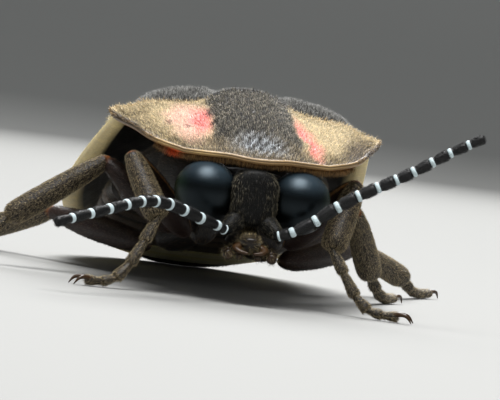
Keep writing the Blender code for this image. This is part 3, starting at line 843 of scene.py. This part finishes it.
def lens_ball():
    """The ball's lenses: each is a low dome with a middle, a ring half way out and a shared outline."""
    middles, triangles = divided_ball(EYE_DIVISIONS)
    corners = unit(middles[triangles].mean(axis=1))
    ring = middles[triangles] * (1 - DOME_SHARE) + corners[:, None] * DOME_SHARE
    ring = (unit(ring) * (1 + 0.7 * LENS_RISE / EYE_RADIUS)).reshape(-1, 3)
    points = np.concatenate([middles * (1 + LENS_RISE / EYE_RADIUS), corners, ring])
    sides = np.concatenate([triangles[:, [0, 1]], triangles[:, [1, 2]], triangles[:, [2, 0]]])
    owners = np.tile(np.arange(len(triangles)), 3)
    order = np.lexsort((sides.max(axis=1), sides.min(axis=1)))
    pairs, owners = np.sort(sides[order], axis=1)[::2], owners[order].reshape(-1, 2)
    tops, skirts = [], []
    for middle in pairs.T:
        one, other = owners.T
        near, far = (
            len(middles) + len(corners) + 3 * owner + (triangles[owner] == middle[:, None]).argmax(axis=1)
            for owner in (one, other)
        )
        tops.append(np.column_stack([middle, near, far]))
        skirts.append(np.column_stack([near, one + len(middles), other + len(middles), far]))
    faces = [np.concatenate(tops), np.concatenate(skirts)]
    for part in faces:
        a, b, c = (points[part[:, k]] for k in range(3))
        inward = (np.cross(b - a, c - a) * a).sum(axis=1) < 0
        part[inward] = part[inward][:, ::-1]
    return points, faces


ball, lenses = lens_ball()
print("lenses in each eye:", len(lenses[0]) // 6)

# %% [markdown]
# The horn of the eyes is black, with a green edge, and a blue-grey highlight is painted on top.

# %% Eyes
EYE_SHEEN = (0.62, 0.80, 0.92, 1.0)
eye_look = Look(
    "eye black", Roughness=0.20, Specular_IOR_Level=0.30, Coat_Roughness=0.2, Specular_Tint=EYE_SHEEN,
)
eye_tint = eye_look.add("ShaderNodeVertexColor", {"layer_name": "tint"})
eye_look.feed("Base Color", eye_look.dim(eye_tint, 0.6 + 0.8 * eye_look.noise(0.3)))
eye_look.feed("Coat Weight", 0.02 + 0.02 * eye_look.noise(0.5))
for name, side in (("left", 1), ("right", -1)):
    shape = ball * EYE_RADIUS
    shape[:, 2] *= np.where(shape[:, 2] > 0, *EYE_STRETCH)
    edge = smooth(0.55, 0.98, ball[:, 0] * side)
    # A blue-grey highlight is painted on the top front of each eye, and the lower part is left near black.
    painted_eye_highlight = smooth(0.30, 1.0, ball[:, 2] - 0.2 * ball[:, 1])
    tints = mixed(np.broadcast_to(rgb(4, 5, 5), ball.shape), rgb(12, 26, 14), edge)
    tints = mixed(tints, rgb(46, 58, 66), 0.85 * painted_eye_highlight)
    around = np.arctan2(ball[:, 1], ball[:, 0]) / (2 * pi) + 0.5
    places = np.stack([around, ball[:, 2] / 2.1 + 0.5], axis=-1)
    points = EYE_CENTRE * [side, 1, 1] + shape
    eye = make_object("eye_" + name + "_lenses", points, lenses, tints, places, eye_look.material)
    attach(eye, "root")
    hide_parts("eye_" + name)
print("two eyes")

# %% [markdown]
# Between the eyes stands a narrow black face, clad in short hairs of old gold that hang straight down.
# Under it two bosses carry the feelers. The back of the head is wide and goes into the thorax.

# %% Head
head_horn = shell_look("head horn", 0.6, 0.03, 0.004, Specular_IOR_Level=0.25)
SOOT, OLD_GOLD = rgb(5, 5, 4), rgb(88, 82, 66)
head = Skin()
face = trunk([
    (-3.135, 0.02, 1.86, 1.92), (-3.13, 0.16, 1.66, 2.20), (-3.105, 0.30, 1.53, 2.36),
    (-3.05, 0.40, 1.45, 2.43), (-2.90, 0.46, 1.42, 2.46), (-2.50, 0.46, 1.41, 2.44),
    (-1.98, 0.46, 1.41, 2.41), (-1.78, 0.80, 1.45, 2.42),
    (-1.46, 0.90, 1.54, 2.43), (-1.00, 0.78, 1.70, 2.38),
], 80, 90, 2.5)
hanging = np.broadcast_to([0.0, -0.15, -1.0], face.shape)
foreness = 1 - smooth(-3.00, -2.8, face[..., 1])
edgeness = smooth(0.08, 0.34, np.abs(face[..., 0]))
face_down = mixed(np.broadcast_to(SOOT * 2, face.shape), OLD_GOLD, foreness * (0.35 + 0.65 * edgeness))
head.add(face, SOOT, face_down, hanging, 0.1 + foreness * (0.4 + 0.6 * edgeness), band=(0, 0.6))
for side in (-1, 1):
    boss = limb([
        (0.20 * side, -2.78, 1.62, 0.20, 0.20), (0.32 * side, -3.02, 1.46, 0.18, 0.18),
        (0.41 * side, -3.18, 1.38, 0.14, 0.14), (0.46 * side, -3.33, 1.33, 0.10, 0.10),
    ], 20, 24)
    head.add(boss, SOOT, OLD_GOLD * 0.6, band=(0.62, 0.8) if side < 0 else (0.8, 0.98))
head.whole().piece("head_skin", head_horn, "head", "head")
grow(head, "head_down", down_hair, 1900, 0.12, 0.008, (12, 6), 0.10, spread=0.9)
head.downs = 0.15 * head.downs
grow(head, "head_nap", down_hair, 9000, 0.05, 0.007, (18, 14), 0.2, spread=0.9, bent=False)

# %% [markdown]
# The mouth is small: a lip plate, two curved jaws that cross, and four palps like short feelers, all of
# amber horn that light goes into, with pale bristles round them.

# %% Mouth
amber_horn = shell_look("amber horn", 0.36, 0.05, 0.002, 0.2, Specular_IOR_Level=0.35)
AMBER, DARK_AMBER, STRAW = rgb(54, 35, 15), rgb(24, 17, 10), rgb(120, 106, 74)
mouth = Skin()
lip = trunk([
    (-3.475, 0.005, 1.13, 1.14), (-3.47, 0.05, 1.10, 1.18), (-3.44, 0.12, 1.05, 1.22),
    (-3.30, 0.18, 0.98, 1.27), (-3.00, 0.21, 0.93, 1.30), (-2.70, 0.20, 0.93, 1.45),
], 32, 24, 2.5)
mouth.add(lip, DARK_AMBER, STRAW, band=(0, 0.18))
for side in (-1, 1):
    jaw = limb([
        (0.10 * side, -3.12, 1.08, 0.12, 0.08), (0.25 * side, -3.31, 1.03, 0.09, 0.06),
        (0.20 * side, -3.45, 0.97, 0.06, 0.045), (0.05 * side, -3.52, 0.945, 0.02, 0.02),
    ], 16, 20)
    mouth.add(jaw, AMBER, STRAW, hairy=0.1, band=(0.2, 0.28))
    outer = [
        (0.12, -2.92, 1.06), (0.30, -3.06, 0.99), (0.385, -3.18, 0.95),
        (0.43, -3.32, 0.925), (0.385, -3.46, 0.87),
    ]
    inner = [(0.07, -2.92, 1.02), (0.135, -3.06, 0.95), (0.165, -3.17, 0.90), (0.17, -3.27, 0.85)]
    for joints, girth in ((outer, 0.085), (inner, 0.055)):
        for k, (root, tip) in enumerate(zip(joints, joints[1:])):
            shape = [(0.0, 0.55), (0.25, 0.9), (0.7, 1.1), (0.93, 0.95), (1.0, 0.45)]
            root, tip = np.array(root) * [side, 1, 1], np.array(tip) * [side, 1, 1]
            stations = [(*(root + (tip - root) * run), girth * w, girth * w) for run, w in shape]
            paler = np.linspace(0, 1, 14)[:, None] ** 3 * np.ones(14)
            colour = mixed(np.broadcast_to(DARK_AMBER, (14, 14, 3)), AMBER, paler)
            mouth.add(limb(stations, 14, 14), colour, STRAW, band=(0.3 + 0.08 * k, 0.37 + 0.08 * k))
mouth.whole().piece("mouth_pieces", amber_horn, "mouth", "mouthparts")
grow(mouth, "mouth_bristles", down_hair, 1100, 0.09, 0.007, (35, 20), 0.5, spread=0.8)

# %% [markdown]
# A feeler has eleven downy black segments. Each starts with a narrow pale ring and swells like a club.
# They are thinner here than the solids, which keep a safe thickness.

# %% Feelers
FEELER_JOINTS = {
    "right": [
        (-0.50, -3.36, 1.31), (-0.63, -3.45, 1.37), (-0.98, -3.78, 1.47),
        (-1.33, -4.12, 1.59), (-1.64, -4.45, 1.68),
        (-1.92, -4.78, 1.72), (-2.19, -5.10, 1.70), (-2.46, -5.39, 1.63),
        (-2.77, -5.66, 1.53), (-3.10, -5.91, 1.42),
        (-3.43, -6.14, 1.31), (-3.75, -6.36, 1.20),
    ],
    "left": [
        (0.46, -3.36, 1.31), (0.66, -3.42, 1.39), (1.06, -3.45, 1.64),
        (1.42, -3.48, 1.94), (1.77, -3.50, 2.19),
        (2.10, -3.52, 2.39), (2.42, -3.54, 2.57), (2.71, -3.57, 2.75),
        (3.02, -3.60, 2.96), (3.32, -3.63, 3.17),
        (3.63, -3.67, 3.36), (3.92, -3.72, 3.53),
    ],
}
FEELER_RADIUS = 0.106
FEELER_SHAPE = [
    (0.0, 0.62), (0.03, 0.92), (0.10, 1.04), (0.18, 1.02),
    (0.23, 0.88), (0.30, 0.84), (0.5, 0.93), (0.8, 1.0),
    (0.93, 0.92), (1.0, 0.62), (1.02, 0.3),
]
PALE_RING, FEELER_BLACK = rgb(192, 208, 212), rgb(5, 5, 6)
feeler_horn = shell_look("feeler horn", 0.5, 0.025, 0.003)
for name, joints in FEELER_JOINTS.items():
    feeler = Skin()
    for k, (root, tip) in enumerate(zip(joints, joints[1:])):
        root, tip = np.array(root), np.array(tip)
        girth = FEELER_RADIUS * (0.86 if k < 2 else 1.0) * (1 - 0.035 * max(0, k - 4))
        stations = [(*(root + (tip - root) * run), girth * w, girth * w) for run, w in FEELER_SHAPE]
        segment = limb(stations, 24, 40)
        run = ((segment - root) * unit(tip - root)).sum(axis=-1) / np.linalg.norm(tip - root)
        black = smooth(0.20, 0.24, run)
        tint = mixed(np.broadcast_to(PALE_RING, segment.shape), FEELER_BLACK, black)
        feeler.add(segment, tint, rgb(20, 20, 21), hairy=0.02 + black, band=(k / 11, (k + 0.9) / 11))
    feeler.whole().piece("feeler_" + name, feeler_horn, "antenna", "antenna_" + name)
    grow(
        feeler, "feeler_" + name + "_down", down_hair,
        9000, 0.055, 0.006, (30, 26), 0.25, spread=0.9, bent=False,
    )

# %% [markdown]
# The wing covers are long bowed shells that meet in the middle. They are dark and grained under a
# silver down, with three low ribs, and a broad straw-coloured margin runs round their outer edge.

# %% The shape of a wing cover
ELYTRA_LENGTH, ELYTRA_START, ELYTRA_BASE_HALF_WIDTH, ELYTRA_HALF_WIDTH = 10.47, 0.13, 2.44, 2.92
BASE_ROLL, BASE_DROP, BASE_SINK = 0.30, 0.36, 0.08
ELYTRA_TOP, ELYTRA_FLANGE, SHOULDER_ROUNDING, SCUTELLUM_LENGTH = 0.74, 0.10, 0.35, 0.85
ELYTRA_RIBS, RIB_HEIGHT, RIB_WIDTH, COVER_THICKNESS, SUTURE = (0.30, 0.58, 0.76), 0.04, 0.09, 0.13, 0.012


def cover_half_width(t):
    gain = ELYTRA_HALF_WIDTH - ELYTRA_BASE_HALF_WIDTH
    swell = ELYTRA_BASE_HALF_WIDTH + gain * np.sin(np.minimum(t / 0.6, 1) * pi / 2)
    return swell * (1 - np.clip((t - 0.45) / 0.5501, 0, 1) ** 2.6) ** 0.5


def cover_height(x, t):
    """Height of the outer face over the body's axis plane."""
    crown = ELYTRA_TOP + (0.50 - ELYTRA_TOP) * np.maximum(0, (t - 0.55) / 0.45) ** 2
    edge = -0.07 - 0.05 * t
    share = x / cover_half_width(t)
    dome = np.minimum(1, share / (1 - ELYTRA_FLANGE))
    ribs = sum(np.maximum(0, 1 - np.abs(share - spot) / RIB_WIDTH) ** 2 for spot in ELYTRA_RIBS)
    shoulder = dome ** 8 + (dome ** 2 - dome ** 8) * SHOULDER_ROUNDING
    drop = shoulder + (dome ** 2.5 - shoulder) * np.minimum(t / 0.3, 1)
    bead = 0.025 * np.exp(-((share - 0.985) / 0.012) ** 2)
    ahead = np.maximum(0, 1 - ELYTRA_LENGTH * t / BASE_ROLL)
    roll = BASE_DROP * (1 - np.sqrt(1 - ahead ** 2)) * (1 - share ** 4)
    sink = BASE_SINK * np.exp(-((ELYTRA_LENGTH * t / 1.3) ** 2)) * (1 - share ** 4)
    tail = 1 - np.clip((t - 0.90) / 0.10, 0, 1) ** 2.2
    shape = edge + (crown - edge) * (1 - drop) * tail
    return shape + RIB_HEIGHT * ribs * np.minimum(1, 6 * t * (1 - t)) * tail + bead - sink - roll


print("widest place of a cover, mm:", round(float(cover_half_width(np.linspace(0, 1, 200)).max()), 2))

# %% [markdown]
# Each cover is one closed grid: over the top from the seam to the edge, round the edge and back below.
# Straw-coloured horn borders its outer edge and its seam.

# %% Wing covers
cover_horn = shell_look("wing cover horn", 0.46, 0.055, 0.009)
top_shares = np.concatenate([np.linspace(0, 0.84, 60), np.linspace(0.84, 1, 14)[1:]])
rim_turns = np.linspace(0, pi, 9)[1:-1]
across_shares = np.concatenate([top_shares, np.ones(len(rim_turns)), top_shares[::-4]])
below = np.concatenate([0 * top_shares, (1 - np.cos(rim_turns)) / 2, 1 + 0 * top_shares[::-4]])
proud = np.concatenate([0 * top_shares, np.sin(rim_turns), 0 * top_shares[::-4]])
base_rows = BASE_ROLL / ELYTRA_LENGTH * (1 - np.cos(np.linspace(0, pi / 2, 12)))
tail_rows = 1 - 0.08 * (1 - np.sin(np.linspace(0, pi / 2, 24)))
rows = np.concatenate([base_rows, np.linspace(base_rows[-1], 0.92, 110)[1:-1], tail_rows])[:, None]
half = cover_half_width(rows)
COVER_DARK, COVER_STRAW, COVER_DOWN = rgb(28, 26, 25), rgb(238, 216, 156), rgb(118, 117, 113)
for name, side in (("left", 1), ("right", -1)):
    x = SUTURE + np.maximum(half - 0.03 - SUTURE, 0.004) * across_shares
    notch = SCUTELLUM_LENGTH * np.maximum(0, 1 - x / 0.85) * (1 - rows)
    y = ELYTRA_START + notch + ELYTRA_LENGTH * rows + 0 * x
    closing = 0.25 + 0.75 * smooth(0.0, 0.02, rows) * (1 - smooth(0.985, 1.0, rows))
    z = cover_height(x, rows) - COVER_THICKNESS * below * closing
    grid = pitch(np.stack([side * (x + 0.03 * proud), y, z], axis=-1))
    share = np.minimum(x / np.maximum(half, 0.05), 1)
    straw = smooth(0.845, 0.885, share + 0.01 * wobble(x, y, 0.7))
    seam = 1 - smooth(0.05, 0.10, x)
    tint = mixed(np.broadcast_to(COVER_DARK, grid.shape), COVER_STRAW, np.maximum(straw, 0.75 * seam))
    tint = mixed(tint, rgb(24, 18, 14), (below > 0.9) * (share < 0.8) * 0.95)
    down = mixed(np.broadcast_to(COVER_DOWN, grid.shape), rgb(226, 208, 160), np.maximum(straw, 0.6 * seam))
    hairy = np.where(below > 0.05, 0.0, 1.0 + 2.0 * (1 - smooth(0.02, 0.16, rows)))
    base = np.where(below > 0.05, 0.0, 1 - smooth(0.05, 0.10, rows)) + 0 * x
    if side < 0:
        grid, tint, down, hairy, base = (part[:, ::-1] for part in (grid, tint, down, hairy, base))
    cover = Skin().add(grid, tint, down, hairy=hairy).whole()
    cover.piece("wing_cover_" + name, cover_horn, "elytra", "elytron_" + name)
    grow(
        cover, "wing_cover_" + name + "_down", down_hair,
        36000, 0.085, 0.009, (17, 13), 0.22, spread=0.9, bent=False,
    )
    cover.hairy[:base.size, 0] = base.ravel()
    grow(
        cover, "wing_cover_" + name + "_base_down", down_hair,
        5000, 0.14, 0.009, (38, 24), 0.35, spread=0.9,
    )

# %% [markdown]
# A small triangle, the scutellum, fills the notch between the bases of the wing covers.

# %% Scutellum
run = np.linspace(0, 0.97, 24)[:, None]
turn = -np.linspace(0, 2 * pi, 40, endpoint=False)
wide = 0.72 * (1 - run) ** 0.8 + 0.02
x = wide * np.sign(np.cos(turn)) * np.abs(np.cos(turn)) ** 0.8
dome = 0.12 * np.sin(turn) * np.sqrt(1 - (x / 0.76) ** 2) - 0.10 * (x / 0.7) ** 2
z = 0.52 + dome - 0.05 * (1 - run) ** 8 + 0.09 * (1 - run) ** 3
grid = pitch(np.stack([x, ELYTRA_START + 0.02 + run * 0.80 + 0 * x, z], axis=-1))
scutellum = Skin().add(grid, COVER_DARK, COVER_DOWN).whole()
scutellum.piece("scutellum_skin", cover_horn, "elytra", "scutellum")
grow(scutellum, "scutellum_down", down_hair, 2500, 0.11, 0.009, (34, 20), 0.3, spread=0.9)

# %% [markdown]
# Under the shield and the wing covers is the trunk: the front thorax with the front hips, the hind
# thorax with the middle and hind hips, and the abdomen, whose plates overlap like tiles. Its last full
# plates are the cream-coloured lantern.

# %% Thorax
trunk_horn = shell_look("trunk horn", 0.48, 0.045, 0.006)
UMBER, UMBER_DOWN = rgb(26, 19, 14), rgb(80, 68, 50)
front_thorax = Skin().add(trunk([
    (-1.02, 0.85, 1.72, 2.50), (-0.95, 1.00, 1.60, 2.60),
    (-0.75, 1.33, 1.50, 2.72), (-0.35, 1.58, 1.45, 2.82),
    (0.10, 1.52, 1.50, 2.84),
], 64, 30, 2.6), UMBER, UMBER_DOWN, band=(0, 0.6))
hind_thorax = Skin().add(trunk([
    (-0.20, 1.15, -0.95, -0.20), (0.10, 1.28, -1.05, -0.12), (0.45, 1.30, -1.10, -0.06),
    (0.70, 1.38, -1.17, -0.03), (1.00, 1.64, -1.33, -0.01), (1.8, 1.94, -1.53, -0.01),
    (2.8, 2.01, -1.48, -0.01), (3.45, 1.97, -1.33, -0.01), (3.60, 1.85, -1.22, -0.05),
], 72, 60, 2.3, True), UMBER, UMBER_DOWN, band=(0, 0.6))
for side in (-1, 1):
    band = (0.62, 0.8) if side < 0 else (0.8, 0.98)
    front_hip = limb([
        (0.55 * side, -0.50, 1.95, 0.38, 0.36), (0.60 * side, -0.65, 1.45, 0.38, 0.36),
        (0.66 * side, -0.80, 1.05, 0.22, 0.22), (0.68 * side, -0.84, 0.92, 0.08, 0.08),
    ], 24, 24, (0, 1, 0))
    front_thorax.add(front_hip, UMBER * 0.8, UMBER_DOWN, band=band)
    middle_hip = pitch(np.array([
        (0.60 * side, 1.10, -1.10), (0.75 * side, 1.0, -1.55),
        (0.80 * side, 0.92, -1.80), (0.82 * side, 0.90, -1.92),
    ]))
    hind_hip = pitch(np.array([
        (0.30 * side, 2.95, -1.30), (0.75 * side, 3.0, -1.55),
        (1.05 * side, 3.02, -1.72), (1.15 * side, 3.03, -1.80),
    ]))
    for path, girths in ((middle_hip, (0.43, 0.40, 0.22, 0.08)), (hind_hip, (0.32, 0.34, 0.22, 0.08))):
        stations = [(*point, girth, girth) for point, girth in zip(path, girths)]
        hind_thorax.add(limb(stations, 24, 24, (0, 1, 0)), UMBER * 0.8, UMBER_DOWN, band=band)
front_thorax.whole().piece("front_thorax", trunk_horn, "belly", "prosternum")
hind_thorax.whole().piece("hind_thorax", trunk_horn, "belly", "pterothorax")
grow(
    front_thorax, "front_thorax_down", down_hair,
    6000, 0.10, 0.009, (20, 16), 0.3, spread=0.9, bent=False,
)
grow(
    hind_thorax, "hind_thorax_down", down_hair,
    12000, 0.11, 0.009, (20, 16), 0.3, spread=0.9, bent=False,
)

# %% [markdown]
# The plates of the abdomen are rings whose width steps out toward the hind edge of each plate.

# %% Abdomen and lantern
def plates(bounds, rows=22):
    """Overlapping plates of the abdomen: each is widest at its hind edge."""
    runs = []
    for start, end in zip(bounds, bounds[1:]):
        share = np.linspace(0, 1, rows)
        y = start + (end - start) * share
        step = 0.955 + 0.045 * smooth(0.0, 0.45, share) - 0.03 * smooth(0.95, 1.0, share)
        half = 2.22 * (1 - np.maximum(0, (y - 5.0) / 5.35) ** 2.2) ** 0.6
        low = -1.25 + (1.25 - 0.42) * (y - 3.6) / 6.8
        high = -0.04 - 0.16 * ((y - 3.6) / 6.8) ** 2
        runs.append(np.stack([y, half * step, low * step, high - 0.6 * (1 - step), step], axis=-1))
    return np.concatenate(runs)


def plate_skin(bounds, tint, hem):
    """Grid and tints of a run of plates, each painted paler where it is widest, as if lit, and darker at
    its ends, as painted shade.
    """
    rings = plates(bounds)
    grid = trunk(rings[:, :4], 72, len(rings), 2.3, True)
    grid[..., 2] = np.maximum(grid[..., 2], 0.03)
    # Each plate is painted paler where it is widest, as if lit, and darker where it narrows at its ends and
    # tucks under its neighbours, as painted shade.
    painted_lit_share = smooth(0.985, 1.0, rings[:, 4])[:, None] * np.ones(72)
    return grid, mixed(np.broadcast_to(tint, grid.shape), hem, 0.7 * painted_lit_share)


abdomen = Skin()
for bounds, band in (((3.45, 4.4, 5.35, 6.3, 7.25), (0, 0.7)), ((9.15, 9.6, 9.95), (0.75, 0.98))):
    grid, tint = plate_skin(bounds, rgb(30, 21, 15), rgb(84, 62, 38))
    abdomen.add(grid, tint, UMBER_DOWN, band=band)
abdomen.whole().piece("abdomen_plates", trunk_horn, "belly", "abdomen", "abdomen_tip")
grow(abdomen, "abdomen_down", down_hair, 14000, 0.11, 0.009, (18, 14), 0.3, spread=0.9, bent=False)
lantern_horn = shell_look("lantern horn", 0.36, 0.05, 0.004, 0.25, 0.3)
grid, tint = plate_skin((7.2, 8.2, 9.2), rgb(226, 216, 158), rgb(240, 234, 196))
lantern = Skin().add(grid, tint, rgb(226, 216, 176)).whole()
lantern.piece("lantern_plates", lantern_horn, "lantern", "lantern")
grow(
    lantern, "lantern_down", down_hair, 5000, 0.08, 0.007, (16, 12), 0.3, spread=0.6, bent=False,
)

# %% [markdown]
# Each leg is a thigh, a shin and a foot of five small lobed segments. The joints are places in the
# design, from the root of the thigh to the end of the foot. The shin carries the thickest coat, and
# amber horn shows at the knee and in the claws.

# %% The joints of the legs
LEG_JOINTS = {
    "front_right": [
        (-0.95, -0.98, 1.05), (-2.20, -1.75, 2.42), (-1.66, -2.50, 1.38),
        (-1.92, -2.68, 0.80), (-2.20, -2.84, 0.30),
        (-2.50, -2.96, 0.12), (-2.86, -3.06, 0.11),
    ],
    "front_left": [
        (0.95, -0.98, 1.05), (1.98, -1.75, 2.38), (1.60, -2.48, 1.18),
        (1.90, -2.70, 0.66), (2.20, -2.86, 0.24),
        (2.50, -2.98, 0.11), (2.86, -3.08, 0.11),
    ],
    "middle_right": [
        (-1.05, 0.42, 1.06), (-2.47, 0.86, 2.20), (-4.20, 0.60, 0.92),
        (-4.62, 0.52, 0.46), (-4.92, 0.46, 0.15),
        (-5.22, 0.40, 0.11), (-5.58, 0.32, 0.11),
    ],
    "middle_left": [
        (1.05, 0.42, 1.06), (2.42, 1.10, 1.80), (3.10, 2.60, 0.56), (3.34, 3.02, 0.24), (3.52, 3.38, 0.12),
        (3.66, 3.70, 0.11), (3.80, 4.05, 0.11),
    ],
    "hind_right": [
        (-1.32, 2.55, 0.62), (-3.12, 4.85, 0.98), (-4.28, 6.72, 0.42),
        (-4.50, 7.20, 0.18), (-4.66, 7.58, 0.12),
        (-4.80, 7.96, 0.11), (-4.95, 8.34, 0.11),
    ],
    "hind_left": [
        (1.32, 2.55, 0.62), (3.06, 4.88, 0.98), (4.36, 6.60, 0.42), (4.62, 7.06, 0.18), (4.80, 7.42, 0.12),
        (4.98, 7.78, 0.11), (5.16, 8.14, 0.11),
    ],
}
THIGH_SHAPE = [
    (0.0, 0.10), (0.05, 0.17), (0.16, 0.25), (0.38, 0.295),
    (0.65, 0.28), (0.88, 0.20), (0.97, 0.15), (1.03, 0.06),
]
SHIN_SHAPE = [
    (-0.05, 0.05), (0.0, 0.14), (0.08, 0.17), (0.25, 0.215),
    (0.6, 0.245), (0.88, 0.245), (0.97, 0.20), (1.0, 0.10),
]
TOE_SHAPE = [(-0.12, 0.04), (0.0, 0.075), (0.3, 0.095), (0.75, 0.125), (0.95, 0.115), (1.04, 0.05)]
print("legs:", ", ".join(LEG_JOINTS))

# %% [markdown]
# A foot ends in two curved claws, which are kept apart from the leg's skin. A thigh has an amber ridge
# on its inner side.

# %% Legs
CLAW_SHAPE = [
    (0.0, 0.0, 0.0, 0.05), (0.16, 0.05, 0.05, 0.042), (0.30, 0.09, 0.03, 0.03), (0.40, 0.10, -0.085, 0.008),
]
THIGH_BROWN, SHIN_BROWN, KNEE_AMBER = rgb(34, 18, 12), rgb(24, 17, 14), rgb(150, 84, 36)
THIGH_DOWN, SHIN_DOWN = rgb(60, 46, 34), rgb(158, 142, 110)
leg_horn = shell_look("leg horn", 0.5, 0.04, 0.005, Specular_IOR_Level=0.35)


def limb_between(root, tip, shape, flatness, sides=24, rows=40, up=(0, 0, 1)):
    """A limb from one joint to the next, with its half width at shares of the way."""
    root, tip = np.array(root), np.array(tip)
    return limb([(*(root + (tip - root) * run), w, w * flatness) for run, w in shape], sides, rows, up)


def toe_joints(joints):
    """Five toe segments along the four steps of the foot's path."""
    path = np.array(joints[2:])
    return flow(path, 6)


claws = Skin()
for leg, joints in LEG_JOINTS.items():
    skin = Skin()
    thigh = limb_between(joints[0], joints[1], THIGH_SHAPE, 0.86, 40)
    inward = (thigh - thigh.mean(axis=1, keepdims=True))[..., 0] * -np.sign(joints[0][0])
    ridge = smooth(0.955, 0.995, inward / inward.max(axis=1, keepdims=True))
    run = np.linspace(0, 1, len(thigh))[:, None] * np.ones(thigh.shape[1])
    knee = smooth(0.80, 1.0, run)
    tint = mixed(np.broadcast_to(THIGH_BROWN, thigh.shape), KNEE_AMBER, 0.85 * knee)
    tint = mixed(tint, rgb(196, 150, 92), 0.8 * ridge)
    skin.add(thigh, tint, THIGH_DOWN, hairy=0.5 - 0.45 * knee, band=(0, 0.3))
    shin = limb_between(joints[1], joints[2], SHIN_SHAPE, 0.90)
    run = np.linspace(0, 1, len(shin))[:, None] * np.ones(shin.shape[1])
    knee = 1 - smooth(0.05, 0.2, run)
    tint = mixed(np.broadcast_to(SHIN_BROWN, shin.shape), KNEE_AMBER, 0.8 * knee)
    skin.add(shin, tint, SHIN_DOWN, hairy=1.3 - 1.1 * knee, band=(0.32, 0.64))
    toes = toe_joints(joints)
    for k, (root, tip) in enumerate(zip(toes, toes[1:])):
        toe = limb_between(root, tip, TOE_SHAPE, 0.80 if k < 3 else 0.7, 18, 20)
        toe[..., 2] = np.maximum(toe[..., 2], 0.003)
        skin.add(toe, rgb(28, 23, 19), SHIN_DOWN, band=(0.66 + 0.06 * k, 0.71 + 0.06 * k))
    skin.whole().piece("leg_" + leg, leg_horn, "leg", "femur_" + leg, "tibia_" + leg, "tarsus_" + leg)
    grow(
        skin, "leg_" + leg + "_down", down_hair,
        14000, 0.065, 0.008, (24, 20), 0.25, spread=1.2, bent=False,
    )
    ahead = unit(np.array(joints[-1]) - np.array(joints[-2]))
    sideways = unit(np.cross(ahead, (0, 0, 1)))
    for side in (-1, 1):
        root = np.array(joints[-1]) - ahead * 0.12 + sideways * 0.045 * side
        stations = []
        for forward, out, rise, girth in CLAW_SHAPE:
            point = root + ahead * forward + sideways * out * side + np.array([0, 0, rise])
            stations.append((*point, girth, girth))
        claw = limb(stations, 12, 16)
        claw[..., 2] = np.maximum(claw[..., 2], 0.002)
        claws.add(claw, AMBER, AMBER)
claws.whole().piece("claws", amber_horn, "leg")
